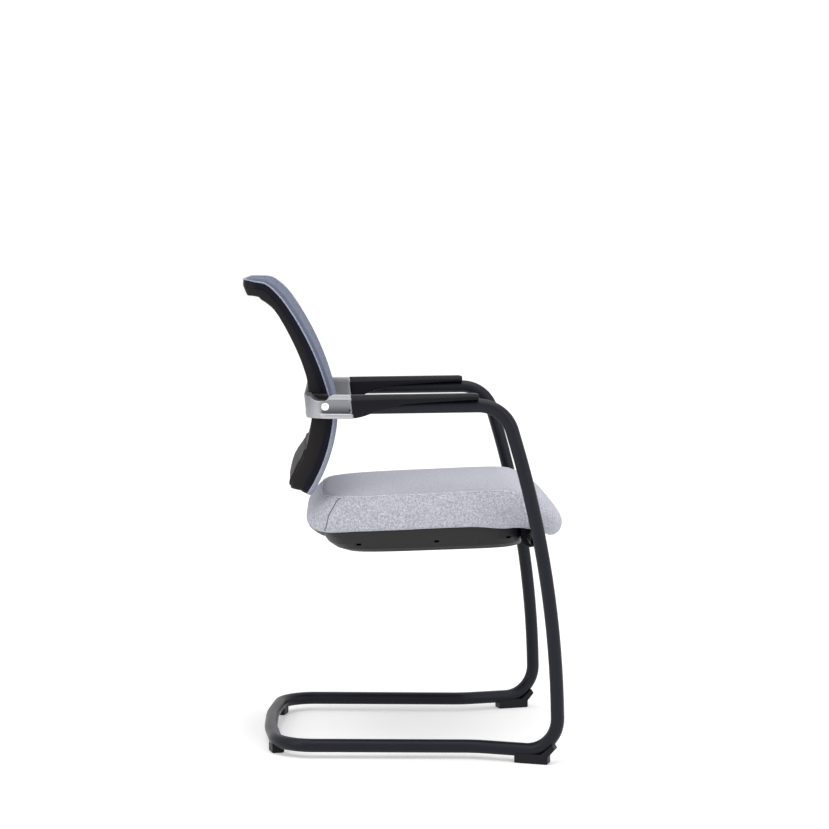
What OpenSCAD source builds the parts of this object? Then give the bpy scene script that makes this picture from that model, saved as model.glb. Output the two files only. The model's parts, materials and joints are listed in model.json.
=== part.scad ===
// Visitor chair: one bent steel tube makes the floor loop, the front uprights and the arms.
// A cast yoke joins the two arm ends behind the backrest and carries it. The seat hangs on a
// cross tube between the uprights. Sizes in millimetres. The sitter faces -Y, and +Z is up.
// Along the depth, places are given as s, the distance in front of the rear floor tube.

/* [Frame tube] */
// Outer diameter of the bent tube
tube_d = 25; // [20:0.5:32]
// Wall of the bent tube
tube_wall = 2; // [1.2:0.1:4]
// Centre distance between the two floor rails
rail_spacing = 463; // [420:1:500]
// Centre distance between the uprights at the floor
floor_spacing = 559; // [520:1:600]
// Centre distance between the two arms
arm_spacing = 584; // [550:1:640]
// From the middle of the rear floor tube to the foot of the uprights
frame_length = 534; // [480:1:600]
// From the rear floor tube to the place where the rails start to spread
spread_start = 384; // [330:1:430]
// Height of the knee of the bowed uprights
bow_z = 348; // [300:1:400]
// Backward lean of the lower uprights, degrees
foot_lean = 1.7; // [0:0.1:6]
// From the rear floor tube to the top corner of the uprights
arm_corner_s = 426; // [390:1:460]
// Height of the arm tube at that corner
arm_corner_z = 663; // [620:1:700]
// Slope of the arms, degrees
arm_slope = 1.3; // [0:0.1:4]
// How far the rear floor corners lie in front of the middle of the rear tube
rear_bow = 19; // [5:0.5:30]
// Bend radius of the rear floor corners
rear_bend_r = 72; // [50:1:95]
// Bend radius where the rails spread
spread_bend_r = 140; // [80:1:200]
// Bend radius at the foot of the uprights
foot_bend_r = 61; // [50:1:68]
// Bend radius between upright and arm
arm_bend_r = 64; // [45:1:72]

/* [Glides] */
// Clear height under the floor rails
glide_h = 11; // [8:0.5:16]
// Width of a glide
glide_w = 23; // [19:0.5:26]
// Length of a front glide
front_glide_l = 63; // [50:1:80]
// Length of a rear glide
rear_glide_l = 26; // [20:1:36]
// How far a glide reaches up the side of the tube
glide_grip = 7; // [4:0.5:10]

/* [Arm pads] */
// Width of an arm pad
pad_w = 40; // [34:1:50]
// Plastic over the tube
pad_over = 10; // [7:0.5:14]
// Length of an arm pad
pad_l = 229; // [180:1:240]
// Length of the deep rear end that meets the yoke
pad_root_l = 40; // [25:1:60]
// Corner radius of the pad section
pad_round = 8; // [4:0.5:12]

/* [Yoke] */
// Front end of the yoke, in front of the rear floor tube
yoke_front_s = 149; // [140:1:160]
// Rear face of the yoke, in front of the rear floor tube
yoke_rear_s = 64; // [58:1:70]
// Height of the yoke casting
yoke_h = 42; // [38:0.5:50]
// Thickness behind the backrest
yoke_rear_t = 11; // [8:0.5:14]
// Outer wall beside the arm socket
yoke_wall = 5.5; // [4.5:0.1:8]
// Outer corner radius of the yoke
yoke_corner_r = 45; // [30:1:50]
// Depth of the recess in the outer face
recess_t = 2.4; // [1:0.1:3]
// Height of the lip under the recess
lip_low = 9; // [6:0.5:12]
// Height of the lip above the recess
lip_high = 7.5; // [5:0.5:10]
// Depth of the dip in the top edge beside the backrest
dip_t = 9; // [4:0.5:12]
// Diameter of the polished cap
cap_d = 16; // [14.6:0.2:17]

/* [Backrest] */
// Width of the backrest
back_w = 440; // [400:1:470]
// Foremost point of the back shell, in front of the rear floor tube
lumbar_s = 114; // [110:1:120]
// Height of that point
lumbar_z = 630; // [620:1:645]
// Radius of the shell below the foremost point
low_curve_r = 300; // [260:1:340]
// Angle of that lower arc, degrees
low_curve_a = 27.5; // [22:0.5:30]
// Depth of the side rails below the yoke
rail_deep = 41; // [36:0.5:44]
// Depth of the side rails at the top
rail_slim = 22; // [18:0.5:26]
// Width of a side rail, seen from the front
rail_w = 27; // [22:0.5:36]
// Thickness of the fabric covered front, with its carrier
cover_t = 9; // [7:0.5:11]
// Thickness of the stretched mesh
mesh_t = 2.4; // [1.6:0.1:3]
// Height of the top crossbar under the mesh, along the curve
top_bar_h = 62; // [50:1:80]
// Height of the lower crossbar, along the curve
low_bar_h = 116; // [98:1:124]
// Height of the rear cover on the lower crossbar, along the curve
cover_h = 72; // [60:1:80]
// How far the rear cover bulges behind the side rails
bulge_t = 10; // [5:0.5:14]

/* [Seat] */
// Height of the seat cross tube
cross_z = 414; // [395:1:430]
// Diameter of the seat cross tube
cross_d = 22; // [20:0.5:25]
// How far the cross tube sits behind the middle of the uprights
cross_back = 7; // [4:0.5:9]
// Upward slope of the seat towards the front, degrees
seat_tilt = 3; // [0:0.1:5]
// Width of the cushion at its lower edge
cushion_w = 484; // [440:1:500]
// From the cross tube forward to the nose of the cushion
nose_l = 64; // [50:1:75]
// From the cross tube back to the rear edge of the cushion
seat_back_l = 421; // [390:1:440]
// Height of the fabric boxing, from lower edge to top seam
boxing_h = 66; // [50:1:80]
// Rise of the crown above the seam
crown_h = 14.5; // [8:0.5:18]
// Drop of the cushion at the nose
nose_drop = 28; // [18:1:32]
// Depth of the seat pan
pan_h = 43; // [38:0.5:50]
// Wall of the seat pan
pan_wall = 3; // [2:0.1:4]
// Thickness of the seat board
board_t = 12; // [9:0.5:15]
// Centre distance between the two seat rails
seat_rail_spacing = 250; // [200:1:300]
// Width of a seat rail
seat_rail_w = 38; // [32:1:46]
// Height of a seat rail
seat_rail_h = 17; // [15:0.5:19]
// Sheet thickness of a seat rail
seat_rail_t = 2.5; // [2:0.1:3]
// Length of a seat rail behind the cross tube
seat_rail_l = 300; // [240:1:330]
// Shank diameter of the seat bolts
bolt_d = 8; // [6:0.5:9]

/* [Hidden] */
$fn = 48;
// Clearance between pieces that seat on each other
fit = 0.3;
// Clearance of seats cut for the bent tube
tube_fit = 0.5;
right = -1;
left = 1;

// The shell's curve: arcs of [radius, angle] below and above its foremost point, then a straight lip
lower_arcs = [[62, 5.5], [low_curve_r, low_curve_a]];
upper_arcs = [[59, 12], [525, 24], [162, 15], [29, 38.5]];
hook_l = 30;
function turn(s, z, h0, r, a, k) =
    [s + r * (cos(h0 + a * k) - cos(h0)), z + r * (sin(h0 + a * k) - sin(h0)), h0 + a * k];
function arc_end(p, arc) = turn(p[0], p[1], p[2], arc[0], arc[1], 1);
low_joint = turn(lumbar_s, lumbar_z, 0, lower_arcs[0][0], -lower_arcs[0][1], 1);
lower_points = concat(
    [for (k = [8:-1:1]) turn(low_joint[0], low_joint[1], low_joint[2], lower_arcs[1][0], -lower_arcs[1][1], k / 8)],
    [low_joint, [lumbar_s, lumbar_z, 0]]);
p1 = arc_end([lumbar_s, lumbar_z, 0], upper_arcs[0]);
p2 = arc_end(p1, upper_arcs[1]);
p3 = arc_end(p2, upper_arcs[2]);
p4 = arc_end(p3, upper_arcs[3]);
arc_starts = [[lumbar_s, lumbar_z, 0], p1, p2, p3];
upper_points = [for (n = [0:3]) for (i = [1:6])
    turn(arc_starts[n][0], arc_starts[n][1], arc_starts[n][2], upper_arcs[n][0], upper_arcs[n][1], i / 6)];
function hook_point(k) = [p4[0] - hook_l * k * sin(p4[2]), p4[1] + hook_l * k * cos(p4[2]), p4[2]];
hook_end = hook_point(1);
curve = concat(lower_points, upper_points, [hook_point(0.7), hook_end]);
rear_most_s = hook_end[0];

tube_r = tube_d / 2;
rail_z = glide_h + tube_r;
arm_x = arm_spacing / 2;
rail_x = rail_spacing / 2;
floor_x = floor_spacing / 2;
foot_s = frame_length;
// Where the rear tube starts to bow forward to its corners
rear_knee_x = 0.28 * rail_x;

function knee_s() = foot_s - (bow_z - rail_z) * tan(foot_lean);
function knee_x() = floor_x + (arm_x - floor_x) * (bow_z - rail_z) / (arm_corner_z - rail_z);
arm_end_s = yoke_front_s - 37;
function arm_z(s) = arm_corner_z - (arm_corner_s - s) * tan(arm_slope);
function upright_s(z) =
    let (top = (arm_corner_s - knee_s()) / (arm_corner_z - bow_z), bottom = -tan(foot_lean))
    let (a0 = atan(bottom), a1 = atan(top), r = bow_radius())
    let (t = r * tan((a0 - a1) / 2), z0 = bow_z - t * cos(a0), s0 = knee_s() - t * sin(a0))
    s0 - r * cos(a0) + sqrt(r * r - pow(z - z0 + r * sin(-a0), 2));
cross_s = upright_s(cross_z) - cross_back;
seat_front_s = cross_s + nose_l * cos(seat_tilt);
origin_s = (rear_most_s + seat_front_s) / 2;
function y_at(s) = origin_s - s;

// Corners of one half of the tube's centre line, from the arm end to the middle of the rear
function side_path(side) = [
    [side * arm_x, y_at(arm_end_s), arm_z(arm_end_s)],
    [side * arm_x, y_at(arm_corner_s), arm_corner_z],
    [side * knee_x(), y_at(knee_s()), bow_z],
    [side * floor_x, y_at(foot_s), rail_z],
    [side * rail_x, y_at(spread_start), rail_z],
    [side * rail_x, y_at(rear_bow), rail_z],
    [side * rear_knee_x, y_at(0), rail_z],
    [0, y_at(0), rail_z]];

function unit(v) = v / norm(v);
function turn_angle(p, i) = acos(unit(p[i] - p[i - 1]) * unit(p[i + 1] - p[i]));
function bend_reach(p, i, r) = r * tan(turn_angle(p, i) / 2);

// The bow takes the straight length that the bends at foot and arm leave free
function bow_radius() =
    let (p = side_path_raw())
    let (below = norm(p[3] - p[2]) - bend_reach(p, 3, foot_bend_r))
    let (above = norm(p[2] - p[1]) - bend_reach(p, 1, arm_bend_r))
    (min(below, above) - 3) / tan(turn_angle(p, 2) / 2);
// The same corners measured from the rear tube
function side_path_raw() = [
    [arm_x, -arm_end_s, arm_z(arm_end_s)],
    [arm_x, -arm_corner_s, arm_corner_z],
    [knee_x(), -knee_s(), bow_z],
    [floor_x, -foot_s, rail_z],
    [rail_x, -spread_start, rail_z]];
rear_bow_r = 500;
bend_radii = [0, arm_bend_r, bow_radius(), foot_bend_r, spread_bend_r, rear_bend_r, rear_bow_r, 0];

module ring(d, wall) {
    difference() {
        circle(d = d);
        if (wall > 0) circle(d = d - 2 * wall);
    }
}

// Straight tube from point a to point b
module straight(a, b, d, wall) {
    w = unit(b - a);
    helper = abs(w[0]) < 0.9 ? [1, 0, 0] : [0, 1, 0];
    u = unit(cross(helper, w));
    v = cross(w, u);
    multmatrix([[u[0], v[0], w[0], a[0]], [u[1], v[1], w[1], a[1]], [u[2], v[2], w[2], a[2]]])
        linear_extrude(norm(b - a)) ring(d, wall);
}

// Bend of radius r at corner i of path p
module bend(p, i, r, d, wall) {
    a = unit(p[i] - p[i - 1]);
    b = unit(p[i + 1] - p[i]);
    angle = turn_angle(p, i);
    n = unit(b - a * cos(angle));
    k = cross(a, n);
    c = p[i] - a * bend_reach(p, i, r) + n * r;
    multmatrix([[-n[0], a[0], k[0], c[0]], [-n[1], a[1], k[1], c[1]], [-n[2], a[2], k[2], c[2]]])
        rotate_extrude(angle = angle, $fn = r > 300 ? 720 : 72)
            translate([r, 0]) ring(d, wall, $fn = 48);
}

function reach(p, i) = i == 0 || i == len(p) - 1 ? 0 : bend_reach(p, i, bend_radii[i]);

// Stations along one half of the tube: each is a point of the centre line with its direction
bend_steps = [0, 9, 10, 10, 4, 9, 2];
function bend_stations(p, i) =
    let (a = unit(p[i] - p[i - 1]), b = unit(p[i + 1] - p[i]), angle = turn_angle(p, i), r = bend_radii[i])
    let (n = unit(b - a * cos(angle)), c = p[i] - a * reach(p, i) + n * r)
    [for (k = [0:bend_steps[i]]) let (t = angle * k / bend_steps[i])
        [c + (a * sin(t) - n * cos(t)) * r, a * cos(t) + n * sin(t)]];
function half_stations(p) = concat([[p[0], unit(p[1] - p[0])]], [for (i = [1:6]) each bend_stations(p, i)]);
function reversed(list) = [for (i = [len(list) - 1:-1:0]) [list[i][0], -list[i][1]]];

// A direction square to the tube, carried along it without twist
function carried(stations, i, u) = i == len(stations) ? [] :
    let (w = stations[i][1], v = unit(u - w * (u * w)))
    concat([v], carried(stations, i + 1, v));

tube_sides = 20;
module hollow_sweep(stations, d, wall) {
    n = len(stations);
    m = tube_sides;
    across = carried(stations, 0, [0, 0, 1]);
    function tube_ring(i, r) = [for (j = [0:m - 1]) let (a = 360 * j / m)
        stations[i][0] + (across[i] * cos(a) + cross(stations[i][1], across[i]) * sin(a)) * r];
    // Flats lie as far out as the round tube's mean surface
    grow = sqrt(PI / (m * sin(180 / m) * cos(180 / m)));
    points = concat(
        [for (i = [0:n - 1]) each tube_ring(i, d / 2 * grow)],
        [for (i = [0:n - 1]) each tube_ring(i, (d / 2 - wall) * grow)]);
    inner = n * m;
    skin = [for (i = [0:n - 2]) for (j = [0:m - 1]) let (k = (j + 1) % m)
        [i * m + j, (i + 1) * m + j, (i + 1) * m + k, i * m + k]];
    end = (n - 1) * m;
    faces = concat(
        [for (q = skin) each [[q[0], q[1], q[2]], [q[0], q[2], q[3]]]],
        [for (q = skin) each [[q[2] + inner, q[1] + inner, q[0] + inner],
            [q[3] + inner, q[2] + inner, q[0] + inner]]],
        [for (j = [0:m - 1]) let (k = (j + 1) % m) each
            [[j, k, k + inner], [j, k + inner, j + inner]]],
        [for (j = [0:m - 1]) let (k = (j + 1) % m) each
            [[end + k, end + j, end + j + inner], [end + k, end + j + inner, end + k + inner]]]);
    polyhedron(points, faces, convexity = 10);
}

// Plain round lengths of the tube, to cut its seats in other pieces
module tube_seat(p, d, first, last) {
    for (i = [first:last - 1]) {
        w = unit(p[i + 1] - p[i]);
        straight(p[i] + w * reach(p, i), p[i + 1] - w * reach(p, i + 1), d, 0);
    }
}

module frame_tube() {
    color([0.13, 0.14, 0.18]) hollow_sweep(
        concat(half_stations(side_path(right)), reversed(half_stations(side_path(left)))),
        tube_d, tube_wall);
}

// Front glides: a block under the spread rail that follows the start of the foot bend
spread_angle = atan((floor_x - rail_x) / (foot_s - spread_start));
// Distance of the block behind the foot corner, along the rail
glide_front = 17;
module front_glide(side) {
    p = side_path(side);
    color([0.06, 0.06, 0.07]) difference() {
        translate([side * floor_x, y_at(foot_s), 0]) rotate([0, 0, side * spread_angle])
            rotate([90, 0, 90]) translate([0, 0, -glide_w / 2]) linear_extrude(glide_w) polygon([
                [glide_front + 1.5, 0], [glide_front, 1.5], [glide_front, glide_h + 3], [4, glide_h + 18],
                [9, glide_h + 26], [30, glide_h + glide_grip], [glide_front + front_glide_l, glide_h + glide_grip],
                [glide_front + front_glide_l, 1.5], [glide_front + front_glide_l - 1.5, 0]]);
        tube_seat(p, tube_d + 2 * tube_fit, 3, 4);
        bend(p, 3, foot_bend_r, tube_d + 2.2 * tube_fit, 0);
        glide_hole(front_screw_at(side));
    }
}

function front_screw_at(side) = [
    side * (floor_x - 52 * sin(spread_angle)), y_at(foot_s - 52 * cos(spread_angle)), 0];

// Rear glides sit under the rear bends, near their inner ends
rear_glide_turn = 74;
rear_bend_reach = rear_bend_r * tan((90 - atan(rear_bow / (rail_x - rear_knee_x))) / 2);
function rear_glide_at(side) = [
    side * (rail_x - rear_bend_r * (1 - cos(rear_glide_turn))),
    y_at(rear_bow + rear_bend_reach - rear_bend_r * sin(rear_glide_turn)), 0];

module rear_glide(side) {
    p = side_path(side);
    color([0.06, 0.06, 0.07]) difference() {
        translate(rear_glide_at(side)) rotate([0, 0, side * rear_glide_turn])
            translate([-glide_w / 2, -rear_glide_l / 2, 0]) chamfered_block(glide_w, rear_glide_l,
                glide_h + glide_grip, 2);
        tube_seat(p, tube_d + 2 * tube_fit, 5, 6);
        bend(p, 5, rear_bend_r, tube_d + 2.2 * tube_fit, 0);
        glide_hole(rear_glide_at(side));
    }
}

// Block with a chamfer round its foot
module chamfered_block(x, y, z, c) {
    intersection() {
        rotate([90, 0, 0]) translate([0, 0, -y]) linear_extrude(y)
            polygon([[c, 0], [x - c, 0], [x, c], [x, z], [0, z], [0, c]]);
        rotate([90, 0, 90]) linear_extrude(x)
            polygon([[c, 0], [y - c, 0], [y, c], [y, z], [0, z], [0, c]]);
    }
}

glide_screw_d = 4;
glide_head_d = 8;
glide_head_z = 2.5;
module glide_hole(at) {
    translate(at) {
        translate([0, 0, -1]) cylinder(h = glide_head_z + 4, d = glide_head_d + 2 * fit);
        cylinder(h = glide_h + glide_grip, d = glide_screw_d + 2 * fit);
    }
}

module glide_screw(at) {
    translate(at + [0, 0, glide_head_z]) {
        cylinder(h = 3, d = glide_head_d);
        cylinder(h = glide_h - glide_head_z - fit, d = glide_screw_d);
    }
}

module glide_screws() {
    color([0.6, 0.6, 0.62]) for (side = [right, left]) {
        glide_screw(front_screw_at(side));
        glide_screw(rear_glide_at(side));
    }
}

// Frame of an arm: origin at the tube end, +Y rearward along the tube, +Z up
module at_arm(side) {
    translate([side * arm_x, y_at(arm_end_s), arm_z(arm_end_s)]) rotate([-arm_slope, 0, 0]) children();
}

plug_l = 14;
module tube_plugs() {
    color([0.08, 0.08, 0.09]) for (side = [right, left]) at_arm(side) rotate([90, 0, 0]) {
        translate([0, 0, -1]) cylinder(h = plug_l, d = tube_d - 2 * tube_wall - 2 * fit);
        translate([0, 0, -2]) cylinder(h = 2 - fit, d = tube_d - 1);
    }
}

// Section of an arm pad, square round the tube with round corners
pad_drop = yoke_h / 2 - 2.5;
module pad_section() {
    w = pad_w / 2 - pad_round;
    top = tube_r + pad_over;
    for (x = [-w, w]) translate([x, top - pad_round]) circle(r = pad_round);
    for (x = [-w, w]) translate([x, -pad_drop + pad_round]) circle(r = pad_round);
    translate([-w, -pad_drop]) square([2 * w, top + pad_drop]);
    translate([-pad_w / 2, -pad_drop + pad_round]) square([pad_w, top + pad_drop - 2 * pad_round]);
}

pad_start = yoke_front_s - arm_end_s + 0.5;
module arm_pad(side) {
    top = tube_r + pad_over;
    lean = tan(yoke_lean - arm_slope);
    color([0.05, 0.05, 0.06]) at_arm(side) difference() {
        intersection() {
            rotate([90, 0, 0]) linear_extrude(pad_start + pad_l) pad_section();
            rotate([90, 0, 90]) translate([0, 0, -pad_w]) linear_extrude(2 * pad_w) polygon([
                [-pad_start + lean * (top - 3), top - 3], [-pad_start - 3 + lean * top, top], [-pad_start - pad_l + 2, top],
                [-pad_start - pad_l, top - 1.5], [-pad_start - pad_l, tube_r],
                [-pad_start - pad_l + 1.5, tube_r - 1], [-pad_start - 0.4 * pad_l, tube_r - 7],
                [-pad_start - pad_root_l, -6.5], [-pad_start - 0.8 * pad_root_l, -0.65 * pad_drop],
                [-pad_start - pad_root_l / 2, 2.5 - pad_drop], [-pad_start - 1.5 - lean * pad_drop, -pad_drop],
                [-pad_start - lean * (pad_drop - 1), 1 - pad_drop]]);
        }
        rotate([90, 0, 0]) translate([0, 0, -1]) cylinder(h = pad_start + pad_l + 2, d = tube_d + 2 * fit);
        for (y = pad_screw_places) translate([0, -y, tube_r]) cylinder(h = 7, d = 4 + 2 * fit);
    }
}

pad_screw_places = [pad_start + pad_l * 0.25, pad_start + pad_l * 0.75];
module pad_screws() {
    color([0.6, 0.6, 0.62]) for (side = [right, left]) at_arm(side) for (y = pad_screw_places) {
        translate([0, -y, tube_r + fit]) cylinder(h = 6, d = 4);
    }
}

// The yoke: a U in plan whose legs hold the arm ends
yoke_lean = 7;
yoke_z = arm_z(yoke_front_s) - yoke_h / 2 + 1;
yoke_x = arm_x + tube_r + yoke_wall;
yoke_in_x = arm_x - tube_r - 4;
yoke_in_s = yoke_rear_s + yoke_rear_t;
yoke_in_r = yoke_corner_r - 13.5;
cap_s = yoke_rear_s + yoke_corner_r - 8;
cap_z = yoke_z + lip_low + (yoke_h - lip_low - lip_high) / 2;
recess_h = yoke_h - lip_low - lip_high;

// Plan of a plate, open to the front, with round rear corners
module round_rear(half_w, rear_s, front_s, r) {
    translate([-half_w, y_at(front_s)]) square([2 * half_w, front_s - rear_s - r]);
    translate([-half_w + r, y_at(front_s)]) square([2 * (half_w - r), front_s - rear_s]);
    for (x = [-half_w + r, half_w - r]) translate([x, y_at(rear_s + r)]) circle(r = r);
}

module yoke() {
    color([0.66, 0.67, 0.69]) difference() {
        translate([0, 0, yoke_z]) linear_extrude(yoke_h) difference() {
            round_rear(yoke_x, yoke_rear_s, yoke_front_s + 8, yoke_corner_r);
            round_rear(yoke_in_x, yoke_in_s, yoke_front_s + 9, yoke_in_r);
        }
        for (side = [right, left]) {
            at_arm(side) rotate([90, 0, 0]) translate([0, 0, -2 - fit])
                cylinder(h = 60, d = tube_d + 2 * fit);
            yoke_recess(side);
            yoke_dip(side);
            side_bolt_hole(side);
            set_screw_hole(side);
            for (z = ear_screw_heights) ear_screw_shape(side, z, fit);
        }
        translate([-2 * yoke_x, y_at(yoke_front_s), yoke_z + yoke_h / 2]) rotate([-yoke_lean, 0, 0])
            translate([0, -20, -yoke_h]) cube([4 * yoke_x, 20, 2 * yoke_h]);
    }
}

module yoke_recess(side) {
    translate([side * (yoke_x - recess_t), 0, 0]) mirror([side < 0 ? 1 : 0, 0, 0]) rotate([90, 0, 90])
        linear_extrude(10) {
            translate([y_at(yoke_front_s - 3), cap_z - recess_h / 2])
                square([yoke_front_s - 3 - cap_s, recess_h]);
            translate([y_at(cap_s), cap_z]) circle(d = recess_h);
        }
}

module yoke_dip(side) {
    half = 20;
    r = (half * half + dip_t * dip_t) / (2 * dip_t);
    translate([side * (back_w / 2 + 8), y_at(yoke_rear_s + 28), yoke_z + yoke_h - dip_t + r])
        rotate([0, side * 90, 0]) cylinder(h = 120, r = r, $fn = 64);
}

bolt_head_d = 13;
side_bolt_d = 8;
cap_t = 2.5;
module side_bolt_hole(side) {
    translate([side * yoke_x, y_at(cap_s), cap_z]) rotate([0, side * 90, 0]) {
        translate([0, 0, -recess_t - cap_t]) cylinder(h = 20, d = cap_d + 2 * fit);
        translate([0, 0, -recess_t - cap_t - 6]) cylinder(h = 8, d = bolt_head_d + 2 * fit);
        translate([0, 0, -140]) cylinder(h = 140, d = side_bolt_d + 2 * fit);
    }
}

module yoke_cap(side) {
    color([0.93, 0.93, 0.94]) translate([side * yoke_x, y_at(cap_s), cap_z]) rotate([0, side * 90, 0])
        translate([0, 0, -recess_t - cap_t + fit]) {
            cylinder(h = cap_t - fit, d = cap_d);
            translate([0, 0, cap_t - fit]) cylinder(h = 1.2, d1 = cap_d, d2 = cap_d - 4);
        }
}

side_bolt_end = back_w / 2 - rail_w + 4;
module side_bolts() {
    color([0.55, 0.55, 0.57]) for (side = [right, left])
        translate([side * side_bolt_end, y_at(cap_s), cap_z]) rotate([0, side * 90, 0]) {
            head = yoke_x - recess_t - cap_t - 6 - side_bolt_end;
            cylinder(h = head + 1, d = side_bolt_d);
            translate([0, 0, head + fit]) difference() {
                cylinder(h = 5.4, d = bolt_head_d);
                translate([0, 0, 2.4]) cylinder(h = 4, d = 6, $fn = 6);
            }
        }
}

set_screw_s = yoke_front_s - 12;
module set_screw_hole(side) {
    translate([side * arm_x, y_at(set_screw_s), yoke_z - 1]) cylinder(h = yoke_h / 2 - tube_r + 3, d = 6 + 2 * fit);
}

module set_screws() {
    color([0.3, 0.3, 0.32]) for (side = [right, left])
        translate([side * arm_x, y_at(set_screw_s), yoke_z + 1]) difference() {
            cylinder(h = arm_z(set_screw_s) - tube_r - yoke_z - 1 - fit, d = 6);
            translate([0, 0, -1]) cylinder(h = 3, d = 3, $fn = 6);
        }
}

// Ears: moulded blocks between the yoke and the side rails of the backrest
ear_front_s = lumbar_s - 8;
ear_top_z = yoke_z + yoke_h - 2;
ear_screw_x = (back_w / 2 + yoke_in_x) / 2;
ear_screw_heights = [yoke_z + 9, yoke_z + yoke_h - 13];
module back_ear(side) {
    x0 = back_w / 2 + fit;
    x1 = yoke_in_x - fit;
    color([0.07, 0.07, 0.08]) difference() {
        intersection() {
            translate([side > 0 ? x0 : -x1, y_at(ear_front_s), yoke_z + 3])
                cube([x1 - x0, ear_front_s - yoke_rear_s, ear_top_z - yoke_z - 3]);
            translate([0, 0, yoke_z]) linear_extrude(yoke_h)
                round_rear(yoke_in_x - fit, yoke_in_s + fit, yoke_front_s, yoke_in_r);
        }
        side_bolt_hole(side);
        for (z = ear_screw_heights) ear_screw_shape(side, z, fit);
    }
}

// Screw from the rear face of the yoke into an ear
module ear_screw_shape(side, z, gap) {
    translate([side * ear_screw_x, y_at(yoke_rear_s), z]) rotate([90, 0, 0]) {
        translate([0, 0, gap > 0 ? -5 : 0.5]) cylinder(h = gap > 0 ? 8 : 2.5, d = 9 + 2 * gap);
        translate([0, 0, 1]) cylinder(h = 25 + gap, d = 5 + 2 * gap);
    }
}

module ear_screws() {
    color([0.55, 0.55, 0.57]) for (side = [right, left]) for (z = ear_screw_heights)
        ear_screw_shape(side, z, 0);
}

// Depth of the side rail behind a point of the shell curve: deep below the yoke, slimmer above,
// a little deeper inside the top bend, and drawn in at both ends
function rail_depth(i) = let (c = curve[i])
    i == 0 ? rail_deep - 9
    : i == len(curve) - 1 ? 0.3 * rail_slim
    : c[2] > p2[2] ? lookup(c[2], [[p2[2], rail_slim], [55, rail_slim + 7], [80, rail_slim + 2]])
    : lookup(c[1], [[yoke_z, rail_deep], [yoke_z + yoke_h + 34, rail_slim + 5.5], [p2[1], rail_slim]]);
// Point beside the curve, behind it for a positive distance
function beside(c, d) =
    let (h = c[2] < 0 ? 0.75 * c[2] : c[2])
    [y_at(c[0] - d * cos(h)), c[1] - d * sin(h)];
function band(back, front) = concat(
    [for (c = curve) beside(c, -front)],
    [for (i = [len(curve) - 1:-1:0]) beside(curve[i], back * rail_depth(i))]);

// Slab of the shell between two distances from the curve, across the whole width
module shell_band(points) {
    rotate([90, 0, 90]) translate([0, 0, -back_w]) linear_extrude(2 * back_w) polygon(points);
}

// Outline of the backrest seen from the front
back_corner_r = 18;
module back_outline(inset) {
    w = back_w / 2 - inset;
    r = back_corner_r - inset;
    low = curve[0][1] + inset;
    translate([-w + r, low]) square([2 * (w - r), back_w + low]);
    translate([-w, low + r]) square([2 * w, back_w + low]);
    for (x = [-w + r, w - r]) translate([x, low + r]) circle(r = r);
}

// Outline of the backrest seen from above: its two rear corners are round
top_corner_r = 26;
module back_plan(inset) {
    linear_extrude(2 * hook_end[1])
        round_rear(back_w / 2 - inset, hook_end[0] + inset, lumbar_s + 2 * rail_deep, top_corner_r - inset);
}

module back_window(inset) {
    w = back_w / 2 - rail_w - inset;
    r = 26;
    low = curve[0][1] + low_bar_h;
    high = hook_end[1] - top_bar_h;
    translate([-w + r, low]) square([2 * (w - r), high - low]);
    translate([-w, low + r]) square([2 * w, high - low - 2 * r]);
    for (x = [-w + r, w - r]) for (z = [low + r, high - r]) translate([x, z]) circle(r = r);
}

// Hollow of the back frame, open to the front: solid across the yoke and round the cover screws
back_wall = 3.5;
function channel_depth(i) = rail_depth(i) - back_wall - (curve[i][1] < cover_top_z + 6 ? cover_sink : 0);
module frame_channel() {
    last = len(curve) - 2;
    intersection() {
        shell_band(concat(
            [for (i = [0:last]) beside(curve[i], -1)],
            [for (i = [last:-1:0]) beside(curve[i], channel_depth(i))]));
        back_plan(back_wall + 4);
        facing_front(back_reach) difference() {
            back_outline(back_wall + 4);
            back_window(-back_wall);
            translate([-back_w, yoke_z - 8]) square([2 * back_w, yoke_h + 16]);
            for (p = cover_screw_places) translate(p) circle(d = 14);
        }
    }
}

// Reach of a cut through the whole backrest, either way from the middle of the chair
back_reach = 2 * back_w;
module facing_front(depth) {
    rotate([90, 0, 0]) translate([0, 0, -depth]) linear_extrude(2 * depth) children();
}

module back_frame() {
    color([0.08, 0.08, 0.09]) difference() {
        union() {
            intersection() {
                shell_band(band(0.55, 0));
                facing_front(back_reach) back_outline(0);
                back_plan(0);
            }
            intersection() {
                shell_band(band(1, 0));
                facing_front(back_reach) back_outline(3);
                back_plan(3);
            }
        }
        facing_front(back_reach) back_window(0);
        frame_channel();
        translate([-back_w, y_at(yoke_in_s + fit), yoke_z - fit]) cube([2 * back_w, 60, yoke_h + 2 * fit]);
        for (side = [right, left]) side_bolt_hole(side);
        cover_pocket();
        for (p = cover_screw_places) cover_screw_shape(p, fit);
    }
}

// Rear cover of the lower crossbar: sunk into it at the edges, bulging backward between them
cover_top_z = curve[0][1] + cover_h;
low_cover_w = back_w - 2 * 14;
cover_sink = 7;
cover_seam = 0.8;
cover_radius = 900;
function curve_at(z) = [
    lookup(z, [for (c = curve) [c[1], c[0]]]), z, lookup(z, [for (c = curve) [c[1], c[2]]])];
cover_curve = concat(
    [for (i = [1:len(curve) - 1]) if (curve[i][1] < cover_top_z - 2) curve[i]], [curve_at(cover_top_z)]);
function bulge_at(z) =
    let (k = (cover_top_z - z) / (cover_top_z - curve[0][1]))
    bulge_t * sin(180 * pow(min(max(k, 0), 1), 0.85));
function cover_band(near, far) = concat(
    [for (c = cover_curve) beside(c, near)],
    [for (i = [len(cover_curve) - 1:-1:0]) beside(cover_curve[i], rail_deep + far * bulge_at(cover_curve[i][1]))]);
cover_screw_z = curve[0][1] + 0.78 * cover_h;
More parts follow.
